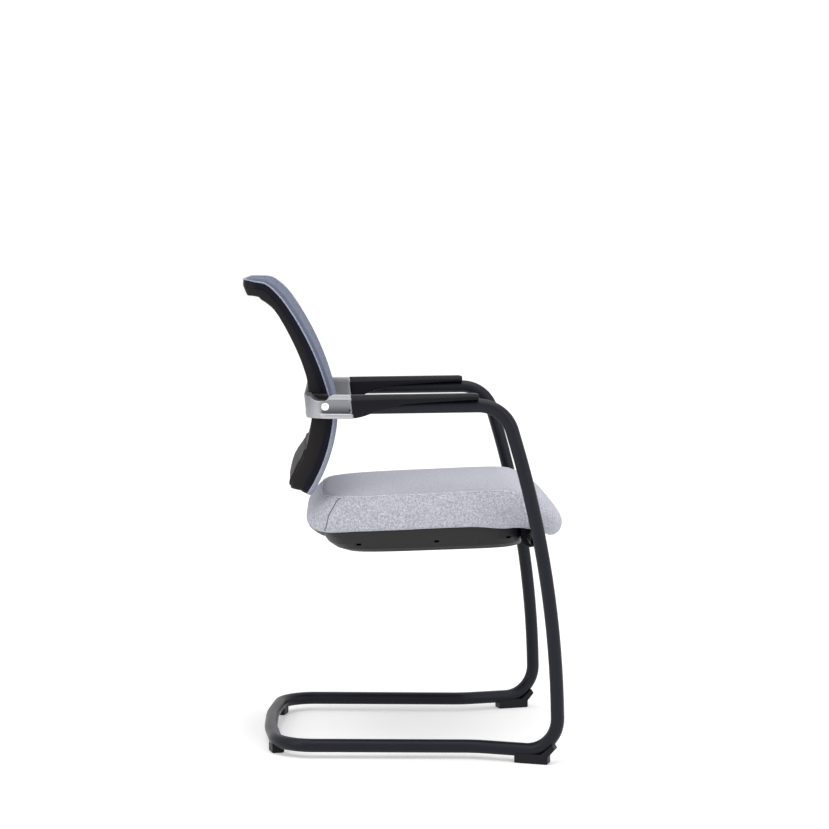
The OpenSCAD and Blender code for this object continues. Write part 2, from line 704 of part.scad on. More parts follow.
cover_screw_places = [for (x = [-0.3, 0.3]) [x * back_w, cover_screw_z]];
module lower_cover() {
    color([0.09, 0.09, 0.10]) difference() {
        intersection() {
            rotate([90, 0, 90]) translate([0, 0, -low_cover_w / 2]) linear_extrude(low_cover_w)
                polygon(cover_band(rail_deep - cover_sink + fit, 1));
            translate([0, y_at(cover_screw_s - rail_deep - bulge_t) - cover_radius, 0])
                cylinder(h = cover_radius, r = cover_radius, $fn = 720);
        }
        for (p = cover_screw_places) cover_screw_shape(p, fit);
    }
}

// Pocket of the back frame that the cover sinks into
module cover_pocket() {
    w = low_cover_w + 2 * cover_seam;
    rotate([90, 0, 90]) translate([0, 0, -w / 2]) linear_extrude(w)
        polygon(concat(
            [for (c = cover_curve) beside(c, rail_deep - cover_sink)],
            [for (i = [len(cover_curve) - 1:-1:0]) beside(cover_curve[i], rail_deep + 20)]));
}

// Screw from under the mesh through the lower crossbar into the cover
cover_screw_s = curve_at(cover_screw_z)[0];
module cover_screw_shape(p, gap) {
    translate([p[0], y_at(cover_screw_s), p[1]]) rotate([-90, 0, 0]) {
        if (gap > 0) translate([0, 0, -20]) cylinder(h = 24, d = 8 + 2 * gap);
        translate([0, 0, 1]) cylinder(h = 3 - gap, d = 8 + 2 * gap);
        translate([0, 0, 1]) cylinder(h = rail_deep + 2 + gap, d = 4 + 2 * gap);
    }
}

module cover_screws() {
    color([0.3, 0.3, 0.32]) for (p = cover_screw_places) cover_screw_shape(p, 0);
}

// Carrier ring behind the mesh, and the mesh drawn over it
module mesh_carrier() {
    color([0.1, 0.1, 0.12]) difference() {
        intersection() {
            shell_band(front_band(fit, cover_t - mesh_t - fit));
            facing_front(back_reach) back_outline(mesh_t + fit);
            back_plan(mesh_t + fit);
        }
        facing_front(back_reach) back_window(1);
    }
}
function front_band(near, far) = concat(
    [for (c = curve) beside(c, -far)],
    [for (i = [len(curve) - 1:-1:0]) beside(curve[i], -near)]);
module back_mesh() {
    color([0.56, 0.61, 0.70]) difference() {
        intersection() {
            shell_band(front_band(fit, cover_t));
            facing_front(back_reach) back_outline(0);
            back_plan(0);
        }
        intersection() {
            shell_band(front_band(-5, cover_t - mesh_t));
            facing_front(back_reach) back_outline(mesh_t);
            back_plan(mesh_t);
        }
    }
}

// Cross tube between the uprights, coped to them
module cross_tube() {
    reach_x = arm_x;
    color([0.13, 0.14, 0.18]) difference() {
        translate([-reach_x, y_at(cross_s), cross_z]) rotate([0, 90, 0]) linear_extrude(2 * reach_x)
            ring(cross_d, tube_wall);
        for (side = [right, left]) {
            bend(side_path(side), 2, bow_radius(), tube_d + 2 * fit, 0);
            translate([side * (arm_x + tube_r), y_at(cross_s), cross_z]) cube(2 * tube_r + 14, center = true);
        }
    }
}

// Frame of the seat: origin on the cross tube, +Y rearward along the seat, +Z square to it
module on_seat() {
    translate([0, y_at(cross_s), cross_z]) rotate([-seat_tilt, 0, 0]) children();
}
board_z = cross_d / 2 + 9;
rim_z = board_z + 5;

module seat_rail(side) {
    color([0.13, 0.14, 0.18]) on_seat() difference() {
        translate([side * seat_rail_spacing / 2, 0, board_z - fit]) rotate([-90, 0, 0])
            translate([0, 0, -cross_d / 2]) linear_extrude(seat_rail_l + cross_d / 2) difference() {
                translate([-seat_rail_w / 2, 0]) square([seat_rail_w, seat_rail_h]);
                translate([-seat_rail_w / 2 + seat_rail_t, seat_rail_t])
                    square([seat_rail_w - 2 * seat_rail_t, seat_rail_h]);
            }
        translate([-arm_x, 0, 0]) rotate([0, 90, 0]) cylinder(h = 2 * arm_x, d = cross_d + fit);
        bolt_holes();
    }
}

bolt_places = [for (side = [right, left]) for (y = [60, seat_rail_l - 40]) [side * seat_rail_spacing / 2, y]];
module bolt_holes() {
    for (p = bolt_places) translate([p[0], p[1], 0]) cylinder(h = 60, d = bolt_d + 2 * fit);
}

// Flat bar that ties the two rails at the rear
tie_t = 3;
tie_y = seat_rail_l - 12;
module seat_tie() {
    color([0.13, 0.14, 0.18]) on_seat()
        translate([-(seat_rail_spacing + seat_rail_w) / 2, tie_y - 24,
            board_z - fit - seat_rail_h - tie_t])
            cube([seat_rail_spacing + seat_rail_w, 24, tie_t]);
}

washer_t = 1.6;
washer_z = board_z - fit - seat_rail_t - washer_t;
module bolt_washers() {
    color([0.6, 0.6, 0.62]) on_seat() for (p = bolt_places) translate([p[0], p[1], washer_z])
        linear_extrude(washer_t) ring(2 * bolt_d, (bolt_d - 2 * fit) / 2);
}

module seat_bolts() {
    color([0.6, 0.6, 0.62]) on_seat() for (p = bolt_places) translate([p[0], p[1], washer_z]) {
        translate([0, 0, -5.5]) cylinder(h = 5.5, d = 1.8 * bolt_d, $fn = 6);
        cylinder(h = washer_t + seat_rail_t + board_t - 1, d = bolt_d);
    }
}

module t_nuts() {
    color([0.62, 0.62, 0.6]) on_seat() for (p = bolt_places) translate([p[0], p[1], board_z + board_t])
        difference() {
            union() {
                translate([0, 0, -board_t + 3]) cylinder(h = board_t - 3, d = bolt_d + 4);
                cylinder(h = 1.5, d = 2.6 * bolt_d);
            }
            translate([0, 0, -board_t]) cylinder(h = board_t + 3, d = bolt_d + 2 * fit);
        }
}

// Plan of the seat board
board_front = 15;
board_rear = seat_back_l - 44;
board_w = cushion_w - 2 * 24;
module board_plan(grow) {
    w = board_w / 2 + grow;
    r = 50 + grow;
    front = board_front + grow;
    rear = board_rear + grow;
    translate([-w + r, -front]) square([2 * (w - r), front + rear]);
    translate([-w, -front + r]) square([2 * w, front + rear - 2 * r]);
    for (x = [-w + r, w - r]) for (y = [-front + r, rear - r]) translate([x, y]) circle(r = r);
}

module seat_board() {
    color([0.78, 0.62, 0.42]) on_seat() difference() {
        translate([0, 0, board_z]) linear_extrude(board_t) board_plan(0);
        for (p = bolt_places) translate([p[0], p[1], board_z - 1]) {
            cylinder(h = board_t + 2, d = bolt_d + 4 + 2 * fit);
        }
        for (p = pan_screw_places) translate([p[0], p[1], board_z - 1])
            cylinder(h = 9, d = 4 + 2 * fit);
    }
}

// Rounded plan curves: a squared oval of given half width, rear and front reach
ring_points = 56;
function squared_oval(half_w, rear, front, n) = [for (i = [0:ring_points - 1])
    let (t = 360 * (i + 0.5) / ring_points, c = cos(t), s = sin(t))
    [half_w * sign(c) * pow(abs(c), 2 / n),
     (rear - front) / 2 + (rear + front) / 2 * sign(s) * pow(abs(s), 2 / n)]];

// Solid through a stack of rings, each with the same count of points
module loft(rings) {
    n = len(rings[0]);
    m = len(rings);
    first = [for (q = [0:2]) sum_of(rings[0], q) / n];
    last = [for (q = [0:2]) sum_of(rings[m - 1], q) / n];
    points = concat([for (ring = rings) for (p = ring) p], [first, last]);
    faces = concat(
        [for (i = [0:n - 1]) [(i + 1) % n, i, n * m]],
        [for (j = [0:m - 2]) for (i = [0:n - 1])
            [j * n + i, j * n + (i + 1) % n, (j + 1) * n + (i + 1) % n]],
        [for (j = [0:m - 2]) for (i = [0:n - 1])
            [j * n + i, (j + 1) * n + (i + 1) % n, (j + 1) * n + i]],
        [for (i = [0:n - 1]) [(m - 1) * n + i, (m - 1) * n + (i + 1) % n, n * m + 1]]);
    polyhedron(points, [for (f = faces) [f[2], f[1], f[0]]], convexity = 8);
}
function sum_of(list, q) = [for (p = list) p[q]] * [for (p = list) 1];

// Cushion: rings from the board recess, round the lower edge, up the boxing and over the crown
// The rings fall away over the nose, from fall_start to their own front
fall_start = 30;
function fall(y, front) = pow(max(0, (fall_start - y) / (fall_start + front)), 1.8);
function seat_ring(h, side_in, rear_in, front_in, n, sink) = [
    for (p = squared_oval(cushion_w / 2 - side_in, seat_back_l - rear_in, nose_l - front_in, n))
    [p[0], p[1], rim_z + h - sink * nose_drop * fall(p[1], nose_l - front_in)]];
function board_ring(z) = [
    for (p = squared_oval(board_w / 2 + 3, board_rear + 3, board_front + 3, 9)) [p[0], p[1], z]];
seam_ring = seat_ring(boxing_h, 14, 35, 42, 5.5, 0.4);
function crown_ring(k) =
    let (mid = (seat_back_l - nose_l) / 2, seam_z = rim_z + boxing_h)
    [for (p = seam_ring) [p[0] * k, mid + (p[1] - mid) * k,
        seam_z + crown_h * (1 - pow(k, 2.6)) + (p[2] - seam_z) * pow(k, 5)]];
cushion_rings = concat(
    [board_ring(board_z + board_t + 1.5 + 2 * fit), board_ring(rim_z + 1)],
    [seat_ring(0, 10, 26, 21, 6, 1), seat_ring(3, 3, 11, 8, 6, 1), seat_ring(14, 0, 0, 0, 6, 1),
     seat_ring(30, 1, 3, 1, 6, 1), seat_ring(48, 6, 15, 13, 5.8, 0.96), seat_ring(61, 11, 29, 26, 5.6, 0.86),
     seam_ring],
    [for (k = [0.985, 0.95, 0.86, 0.7, 0.5, 0.25]) crown_ring(k)]);

module seat_cushion() {
    color([0.75, 0.76, 0.79]) on_seat() loft(cushion_rings);
}

// Pan: a dished shell under the board, with three slots a side and screw bosses
pan_front = -12;
function pan_ring(depth, side_in, rear_in, front_in, n) = [
    for (p = squared_oval(cushion_w / 2 - 9 - side_in, seat_back_l - 26 - rear_in, pan_front - front_in, n))
    [p[0], p[1], rim_z - fit - depth * (1.06 - 0.1 * p[1] / seat_back_l)]];
pan_profile = [[0, 0, 0, 0, 6], [0.25, 1, 5, 0, 6], [0.55, 4, 13, 0, 6], [0.8, 10, 26, 1, 5.8],
    [0.95, 20, 42, 2, 5.6], [1, 34, 62, 5, 5.4]];
module pan_body(shrink, top) {
    loft([for (i = [0:len(pan_profile) - 1])
        let (q = pan_profile[len(pan_profile) - 1 - i], d = q[0] * (pan_h - shrink))
        pan_ring(i == len(pan_profile) - 1 ? d - top : d, q[1] + shrink, q[2] + shrink, q[3] + shrink,
            q[4])]);
}

slot_places = [45, 179, 323];
pan_screw_places = [for (x = [-1, 1]) for (y = [70, 320]) [x * (cushion_w / 2 - 64), y]];
module seat_pan() {
    color([0.16, 0.16, 0.17]) on_seat() difference() {
        union() {
            difference() {
                pan_body(0, 0);
                pan_body(pan_wall, 5);
            }
            intersection() {
                pan_body(0.5, 0);
                for (p = pan_screw_places) translate([p[0], p[1], rim_z - pan_h - 5])
                    cylinder(h = pan_h + 5 - rim_z + board_z - fit, d = 14);
            }
        }
        for (y = slot_places) translate([0, y, rim_z - 24]) cube([2 * cushion_w, 9, 4], center = true);
        translate([0, 0, board_z - fit]) linear_extrude(board_t) board_plan(fit);
        for (side = [right, left])
            translate([side * seat_rail_spacing / 2, 0, board_z - seat_rail_h / 2 - fit])
                cube([seat_rail_w + 4 * fit, 100, seat_rail_h + 4 * fit], center = true);
        for (p = pan_screw_places) translate([p[0], p[1], rim_z - pan_h - 5]) {
            cylinder(h = pan_h + 10, d = 4 + 2 * fit);
            cylinder(h = 16, d = 9);
        }
    }
}

module pan_screws() {
    color([0.3, 0.3, 0.32]) on_seat() for (p = pan_screw_places)
        translate([p[0], p[1], rim_z - pan_h + 7 + fit]) {
            cylinder(h = 3, d = 8);
            cylinder(h = board_z + 7 - (rim_z - pan_h + 7 + fit), d = 4);
        }
}

frame_tube();
front_glide(right);  // front_glide_right
front_glide(left);  // front_glide_left
rear_glide(right);  // rear_glide_right
rear_glide(left);  // rear_glide_left
glide_screws();
tube_plugs();
arm_pad(right);  // arm_pad_right
arm_pad(left);  // arm_pad_left
pad_screws();
yoke();
yoke_cap(right);  // yoke_cap_right
yoke_cap(left);  // yoke_cap_left
side_bolts();
set_screws();
back_ear(right);  // back_ear_right
back_ear(left);  // back_ear_left
ear_screws();
back_frame();
lower_cover();
cover_screws();
mesh_carrier();
back_mesh();
cross_tube();
seat_rail(right);  // seat_rail_right
seat_rail(left);  // seat_rail_left
seat_tie();
seat_board();
seat_bolts();
bolt_washers();
t_nuts();
seat_pan();
pan_screws();
seat_cushion();
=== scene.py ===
# %% [markdown]
# # A visitor chair on one bent tube
# The chair stands on a floor loop of steel tube that rises into two bowed uprights and turns back
# into the arms. A cast yoke joins the arm ends behind the sitter and carries a backrest covered
# with knitted fabric. The seat is a foam cushion in grey felt over a plastic pan.
# The solids come ready from the frame file. This lesson gives each of them its real surface, and
# models anew what is soft, woven or cast: the knit, the cushion, the yoke, the pads and the seams.
#
# The frame file is loaded first, because every later piece takes its place from it. Its box is
# kept now, before anything is added, so that the finished chair can be compared with it.

import json
import math

import bpy
from mathutils import Matrix, Vector
from mathutils.kdtree import KDTree


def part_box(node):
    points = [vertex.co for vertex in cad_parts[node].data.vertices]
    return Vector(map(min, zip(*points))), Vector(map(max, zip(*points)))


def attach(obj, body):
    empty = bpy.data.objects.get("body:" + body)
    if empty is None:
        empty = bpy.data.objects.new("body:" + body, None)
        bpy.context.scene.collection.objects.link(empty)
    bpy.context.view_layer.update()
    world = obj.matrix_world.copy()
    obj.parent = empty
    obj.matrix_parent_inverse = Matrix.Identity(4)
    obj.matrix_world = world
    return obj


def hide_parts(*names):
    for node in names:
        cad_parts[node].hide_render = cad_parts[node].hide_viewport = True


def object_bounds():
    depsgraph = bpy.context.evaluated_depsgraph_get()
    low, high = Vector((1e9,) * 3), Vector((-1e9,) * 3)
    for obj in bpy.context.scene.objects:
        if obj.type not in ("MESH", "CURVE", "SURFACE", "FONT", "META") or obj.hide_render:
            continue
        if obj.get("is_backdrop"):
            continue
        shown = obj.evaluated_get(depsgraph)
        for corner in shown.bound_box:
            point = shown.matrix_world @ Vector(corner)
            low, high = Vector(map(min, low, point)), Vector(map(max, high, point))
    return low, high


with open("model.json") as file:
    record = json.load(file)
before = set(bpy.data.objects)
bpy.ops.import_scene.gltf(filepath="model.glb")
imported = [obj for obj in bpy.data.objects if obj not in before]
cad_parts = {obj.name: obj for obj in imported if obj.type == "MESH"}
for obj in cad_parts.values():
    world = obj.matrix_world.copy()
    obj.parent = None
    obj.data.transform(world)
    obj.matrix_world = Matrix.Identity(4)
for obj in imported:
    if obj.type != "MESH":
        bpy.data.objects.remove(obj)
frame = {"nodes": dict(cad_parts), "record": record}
cad_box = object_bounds()
nodes = frame["nodes"]
print(f"{len(nodes)} solids, {cad_box[1].z:.3f} m high")

# %% [markdown]
# ## Places along the depth
# A chair is drawn from its floor up, so depth is measured here as it was in the drawing: s is the
# distance in front of the middle of the rear floor tube. Sizes in the lesson are written in
# millimetres, as a maker would, and one small function turns them into a point in metres.

# %% Depth and points
# The tube's radius, and how far the solid reaches behind the middle of its rear run
TUBE_R = 12.5
REAR_REACH = 12.6
REAR_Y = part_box("frame_tube")[1].y * 1000 - REAR_REACH


def at(x, s, z):
    """A point from width x, depth s in front of the rear tube and height z, in millimetres."""
    return Vector((x, REAR_Y - s, z)) / 1000


def smooth(low, high, x):
    """Rises softly from 0 at low to 1 at high, and falls where low is the larger."""
    k = min(1, max(0, (x - low) / (high - low)))
    return k * k * (3 - 2 * k)


print(f"rear tube at y = {REAR_Y:.1f} mm")

# %% [markdown]
# ## The camera
# The photograph looks at the chair's right side from just under a metre above the floor, a touch
# downward. A long lens far away keeps the near and far arm close together. The three small
# angles, the distance and the focal length were measured from the picture: tubes of known width
# and level rails tell where the eye stood. The axes are written straight into the camera's matrix.

# %% Stand the camera where the eye was
FOCAL_PX = 2381.6
PICTURE_PX = 829
PAN, TILT, ROLL = 0.0322, 0.0718, 0.0109
EYE = (-4597, 123.9, 954.6)
SENSOR = 36


def camera_axes(pan, tilt, roll):
    """Where right, up and forward point for an eye turned by pan, tilt and roll."""
    forward = Vector((math.cos(pan) * math.cos(tilt), -math.sin(pan) * math.cos(tilt), -math.sin(tilt)))
    level = Vector((-math.sin(pan), -math.cos(pan), 0))
    above = level.cross(forward)
    right = level * math.cos(roll) + above * math.sin(roll)
    up = -level * math.sin(roll) + above * math.cos(roll)
    return right, up, forward


right, up, forward = camera_axes(PAN, TILT, ROLL)
bpy.ops.object.camera_add(location=at(*EYE))
camera = bpy.context.object
camera.name = "camera"
turned = Matrix((right, up, -forward)).transposed().to_4x4()
camera.matrix_world = Matrix.Translation(camera.location) @ turned
camera.data.sensor_width = SENSOR
camera.data.lens = SENSOR * FOCAL_PX / PICTURE_PX
camera.data.clip_end = 60
bpy.context.scene.camera = camera
print(f"lens {camera.data.lens:.1f} mm")

# %% [markdown]
# ## Studio
# The photograph shows the chair cut out on white, lit softly from above with a lighter left side.
# A pale floor and a white room give that ground. Broad area lamps give the long soft highlights
# on the tube, and they are kept at a level where a colour renders about as it is written.

# %% Floor, room and lamps
scene = bpy.context.scene
scene.view_settings.view_transform = "Standard"


def deselect():
    """Leaves edit mode and selects nothing, so that the next step works on its own object."""
    if bpy.context.object and bpy.context.object.mode != "OBJECT":
        bpy.ops.object.mode_set(mode="OBJECT")
    bpy.ops.object.select_all(action="DESELECT")


def lamp(name, place, target, size, power):
    """A flat lamp at place that faces target."""
    deselect()
    bpy.ops.object.light_add(type="AREA", location=place)
    o = bpy.context.object
    o.name = name
    o.data.shape = "RECTANGLE"
    o.data.size, o.data.size_y = size
    o.data.energy = power
    o.rotation_euler = (Vector(target) - Vector(place)).to_track_quat("-Z", "Y").to_euler()


lamp("lamp_above", (-0.6, -0.2, 3.4), (0, 0, 0.4), (3.2, 3.2), 62)
lamp("lamp_rear", (-2.2, 2.6, 2.2), (0, 0, 0.5), (1.6, 2.2), 26)
lamp("lamp_front", (-2.4, -2.8, 1.8), (0, 0, 0.5), (1.6, 2.2), 20)
print("three lamps")

# %% [markdown]
# ## Arithmetic for finishes
# A finish is a small calculation: fibres times colour, height plus height. Written as nodes it
# soon hides what it does, so a socket is wrapped in a class that takes part in Python's own
# arithmetic, and each operation adds its Math node. Everything else comes from one method, node().

# %% Signals and finishes
def light_of(c):
    """The light that a screen's level c, 0 to 255, stands for."""
    return c / 255 / 12.92 if c <= 10 else ((c / 255 + 0.055) / 1.055) ** 2.4


def paint(r, g, b):
    """A colour as a screen shows it, turned into light."""
    return (light_of(r), light_of(g), light_of(b), 1)


class Signal:
    """A socket of a finish that can be added, multiplied and mixed."""

    def __init__(self, finish, socket):
        self.finish, self.socket = finish, socket

    def out(self, name):
        return Signal(self.finish, self.socket.node.outputs[name])

    def math(self, operation, *values):
        return self.finish.math(operation, *values)

    def __add__(self, other):
        return self.math("ADD", self, other)

    def __sub__(self, other):
        return self.math("SUBTRACT", self, other)

    def __rsub__(self, other):
        return self.math("SUBTRACT", other, self)

    def __mul__(self, other):
        return self.math("MULTIPLY", self, other)

    __radd__, __rmul__ = __add__, __mul__

    def cosine(self):
        return self.math("COSINE", self)

    def step(self, low, high):
        """Rises softly from 0 to 1 between two values."""
        sockets = {"Value": self, "From Min": low, "From Max": high}
        return self.finish.node("ShaderNodeMapRange", {"interpolation_type": "SMOOTHSTEP"}, sockets)


class Finish:
    """One material. Numbers that are the same all over go straight onto the shader's sockets."""

    def __init__(self, name, **constants):
        self.material = bpy.data.materials.new(name)
        self.material.use_nodes = True
        self.tree = self.material.node_tree
        self.shader = self.tree.nodes["Principled BSDF"]
        for socket, value in constants.items():
            self.shader.inputs[socket.replace("_", " ")].default_value = value

    def node(self, kind, settings=None, sockets=None):
        """Adds a node, links or fills its sockets, and gives back its first output in use."""
        node = self.tree.nodes.new(kind)
        for name, value in (settings or {}).items():
            setattr(node, name, value)
        for key, value in (sockets or {}).items():
            if isinstance(value, Signal):
                self.tree.links.new(value.socket, node.inputs[key])
            else:
                node.inputs[key].default_value = value
        return Signal(self, next(o for o in node.outputs if o.enabled))

    def math(self, operation, *values):
        return self.node("ShaderNodeMath", {"operation": operation}, dict(enumerate(values)))

    def place(self, turn=(0, 0, 0), stretch=(1, 1, 1)):
        """The place on the chair, in metres, turned and stretched."""
        spot = self.node("ShaderNodeTexCoord").out("Object")
        return self.node("ShaderNodeMapping", {}, {"Vector": spot, "Rotation": turn, "Scale": stretch})

    def flat(self, stretch=(1, 1, 1)):
        """The piece's own UV map, which is written in metres of cloth."""
        spot = self.node("ShaderNodeTexCoord").out("UV")
        return self.node("ShaderNodeMapping", {}, {"Vector": spot, "Scale": stretch})

    def mark(self, name):
        """What the piece's own attribute of that name says, from 0 to 1."""
        settings = {"attribute_name": name, "attribute_type": "GEOMETRY"}
        return self.node("ShaderNodeAttribute", settings).out("Fac")

    def noise(self, where, size, detail=2.0, rough=0.5):
        """Cloudy noise whose lumps are about size millimetres wide."""
        sockets = {"Vector": where, "Scale": 1000 / size, "Detail": detail, "Roughness": rough}
        return self.node("ShaderNodeTexNoise", {}, sockets)

    def blend(self, share, a, b):
        """Colour a where share is 0 and b where it is 1."""
        return self.node("ShaderNodeMix", {"data_type": "RGBA"}, {0: share, 6: a, 7: b})

    def use(self, **inputs):
        """Links signals to the shader's sockets."""
        for name, value in inputs.items():
            self.tree.links.new(value.socket, self.shader.inputs[name.replace("_", " ")])

    def relief(self, height, depth, strength=1.0):
        """Bump of that depth in millimetres."""
        sockets = {"Height": height, "Distance": depth / 1000, "Strength": strength}
        self.use(Normal=self.node("ShaderNodeBump", {}, sockets))

    def mix(self, share, dark, light):
        """Colours the finish between dark and light."""
        colour = self.blend(share, dark, light)
        self.use(Base_Color=colour)
        return colour


finishes = {}
print("finishes are written as arithmetic")

# %% [markdown]
# ## The white ground
# The floor is matt and nearly white. Lamps alone would leave it a little grey, so what the camera
# sees of it gets a small glow of its own, and a contact shadow still darkens it under the tube.
# The room is white to the eye and in reflections, and dimmer as a source of light.

# %% Floor and room
deselect()
bpy.ops.mesh.primitive_plane_add(size=60, location=(0, 0, 0))
floor = bpy.context.object
floor.name = "floor"
floor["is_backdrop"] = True
ground = Finish("studio_floor", Base_Color=paint(250, 250, 250), Roughness=0.9, Specular_IOR_Level=0.0)
rays = ground.node("ShaderNodeLightPath")
seen = rays.out("Is Camera Ray") + rays.out("Is Glossy Ray") + rays.out("Is Transmission Ray")
ground.shader.inputs["Emission Color"].default_value = (1, 1, 1, 1)
spot = ground.node("ShaderNodeTexCoord").out("Object")
length = ground.node("ShaderNodeVectorMath", {"operation": "LENGTH"}, {"Vector": spot}).out("Value")
away = length.step(0.6, 4.5)
ground.tree.links.new((seen * (away * 0.3 + 0.26)).socket, ground.shader.inputs["Emission Strength"])
floor.data.materials.append(ground.material)

ROOM_LIGHT = 0.62
world = bpy.data.worlds.new("room")
scene.world = world
world.use_nodes = True
room = world.node_tree.nodes
path = room.new("ShaderNodeLightPath")
ways = [room.new("ShaderNodeMath") for _ in range(3)]
for node, kind in zip(ways, ("ADD", "ADD", "MULTIPLY_ADD")):
    node.operation = kind
link = world.node_tree.links.new
link(path.outputs["Is Camera Ray"], ways[0].inputs[0])
link(path.outputs["Is Glossy Ray"], ways[0].inputs[1])
link(ways[0].outputs[0], ways[1].inputs[0])
link(path.outputs["Is Transmission Ray"], ways[1].inputs[1])
link(ways[1].outputs[0], ways[2].inputs[0])
ways[2].inputs[1].default_value = 1 - ROOM_LIGHT
ways[2].inputs[2].default_value = ROOM_LIGHT
ways[2].use_clamp = True
link(ways[2].outputs[0], room["Background"].inputs["Strength"])
room["Background"].inputs["Color"].default_value = (1, 1, 1, 1)
print("white room, light level", ROOM_LIGHT)

# %% [markdown]
# ## Powder coat on the steel
# The tube is baked black powder coat with a hint of blue. Melted powder never levels quite flat:
# it keeps a fine orange peel about a millimetre wide, which breaks the highlights up into a satin
# band. Dust and hands leave faintly duller clouds, and the coat is rubbed thin where feet touch.

# %% Powder coat
def powder_coat():
    f = Finish("powder_coat", Specular_IOR_Level=0.17, Coat_Roughness=0.3)
    where = f.place()
    peel = f.noise(where, 1.1, 3, 0.5)
    clouds = f.noise(where, 60, 3, 0.6)
    height = f.node("ShaderNodeSeparateXYZ", {}, {"Vector": f.place()}).out("Z")
    scuffs = f.noise(f.place(stretch=(1, 1, 6)), 7, 4, 0.7).step(0.66, 0.74) * (1 - height.step(0.01, 0.09))
    base = f.blend(clouds, paint(16, 18, 26), paint(23, 25, 35))
    f.use(Base_Color=f.blend(scuffs * 0.5, base, paint(58, 60, 68)))
    f.use(Roughness=clouds * 0.14 + peel * 0.06 + 0.3)
    f.use(Coat_Weight=peel * 0.06 + 0.05)
    f.relief(peel, 0.12, 0.5)
    return f.material


finishes["tube_paint"] = powder_coat()
print("powder coat")

# %% [markdown]
# ## Moulded plastics
# Pads, back frame, pan and glides are moulded plastic. The mould is spark eroded, so the surface
# has a fine leathery grain. One function makes them all, and only the shade, the grain's size and
# the gloss differ: the pads are smoother from elbows, and the pan mirrors the floor a little more.
# The back frame has a darker, bluer strip, which an attribute of that piece marks. The dark thread
# at the cushion's corners is plastic too, and takes the same function.

# %% Moulded plastic
def moulded(name, dark, light, rough, grain, depth, specular=0.26, strip=None):
    """Grain and depth are in millimetres. strip is the colour where the attribute "strip" is 1."""
    f = Finish(name, Specular_IOR_Level=specular)
    where = f.place()
    sockets = {"Vector": where, "Scale": 1000 / grain}
    cells = f.node("ShaderNodeTexVoronoi", {"feature": "SMOOTH_F1"}, sockets).out("Distance")
    clouds = f.noise(where, 90, 3, 0.6)
    touch = f.noise(where, 22, 4, 0.6)
    colour = f.mix(clouds * 0.7 + touch * 0.3, dark, light)
    if strip:
        f.use(Base_Color=f.blend(f.mark("strip"), colour, strip))
    f.use(Roughness=touch * 0.16 + rough - 0.08 + cells * 0.05)
    f.relief(cells, depth, 0.5)
    return f.material


PLASTICS = [
    # slot, material, dark shade, light shade, roughness, grain, its depth, reflection, strip
    ("arm_pad", "arm_pad_plastic", (11, 10, 16), (18, 17, 24), 0.46, 0.9, 0.05, 0.15),
    ("back_plastic", "back_plastic", (27, 25, 26), (39, 36, 37), 0.5, 1.2, 0.07, 0.12, paint(13, 14, 26)),
    ("cover_plastic", "cover_plastic", (33, 31, 33), (43, 41, 43), 0.54, 1.2, 0.07, 0.12),
    ("pan_plastic", "pan_plastic", (23, 22, 24), (31, 30, 32), 0.5, 1.4, 0.08, 0.34),
    ("glide", "glide_plastic", (15, 15, 20), (25, 25, 32), 0.46, 1.0, 0.06, 0.2),
    ("black_plastic", "inner_plastic", (18, 18, 20), (26, 26, 28), 0.6, 1.0, 0.05),
    ("thread", "sewing_thread", (52, 52, 60), (78, 78, 88), 0.7, 0.6, 0.1),
    ("saddle", "saddle_plastic", (7, 7, 9), (13, 13, 16), 0.6, 1.0, 0.05, 0.1),
]
for slot, name, dark, light, *look in PLASTICS:
    finishes[slot] = moulded(name, paint(*dark), paint(*light), *look)
print(len(PLASTICS), "moulded plastics")

# %% [markdown]
# ## Metals
# The yoke is cast aluminium, tumbled and left bare, so it is grey and satin with a soft mottle and
# very fine pits. The cap over its bolt is polished bright. Screws and nuts are zinc plated steel.

# %% Metals
def cast_aluminium(name, painted_light=None):
    """The second argument names an attribute of the piece that paints light and shade into the colour: 0 is
    painted shade in the recesses, 1 is a painted highlight on the lips.
    """
    f = Finish(name, Specular_IOR_Level=0.5)
    f.shader.inputs["Metallic"].default_value = 0.9
    where = f.place()
    mottle = f.noise(where, 9, 5, 0.65)
    clouds = f.noise(where, 34, 3, 0.5)
    pits = f.noise(where, 0.7, 2, 0.5)
    share = mottle * 0.6 + clouds * 0.4
    if painted_light:
        # Painted light: the attribute blends from a painted shade colour to a painted highlight colour
        bright = f.mark(painted_light)
        painted_shade_colour = f.blend(share, paint(54, 55, 64), paint(80, 81, 91))
        f.use(Base_Color=f.blend(bright, painted_shade_colour, paint(186, 186, 190)))
        f.use(Roughness=mottle * 0.2 + bright * -0.14 + 0.36)
    else:
        f.mix(share, paint(150, 151, 158), paint(192, 193, 199))
        f.use(Roughness=mottle * 0.2 + clouds * 0.12 + 0.3)
    f.relief(pits * 0.5 + mottle, 0.1, 0.35)
    return f.material


def plated(name, dark, light, rough):
    """Plated or polished metal with a faint spangle."""
    f = Finish(name, Metallic=1.0)
    where = f.place()
    spangle = f.noise(where, 3, 3, 0.6)
    f.mix(spangle, dark, light)
    f.use(Roughness=spangle * 0.12 + rough)
    f.relief(f.noise(where, 0.4, 2, 0.5), 0.02, 0.3)
    return f.material


finishes["yoke_aluminium"] = cast_aluminium("cast_aluminium")
finishes["polished_cap"] = plated("polished_cap", paint(236, 237, 240), paint(250, 250, 252), 0.08)
finishes["zinc_steel"] = plated("zinc_steel", paint(158, 160, 166), paint(188, 190, 194), 0.28)
finishes["black_steel"] = plated("black_steel", paint(40, 40, 44), paint(56, 56, 60), 0.4)
print("four metals")

# %% [markdown]
# ## Beech plywood
# The board under the cushion is hidden, but it is still wood: long grain along its width, darker
# late wood between, and short dark pores.

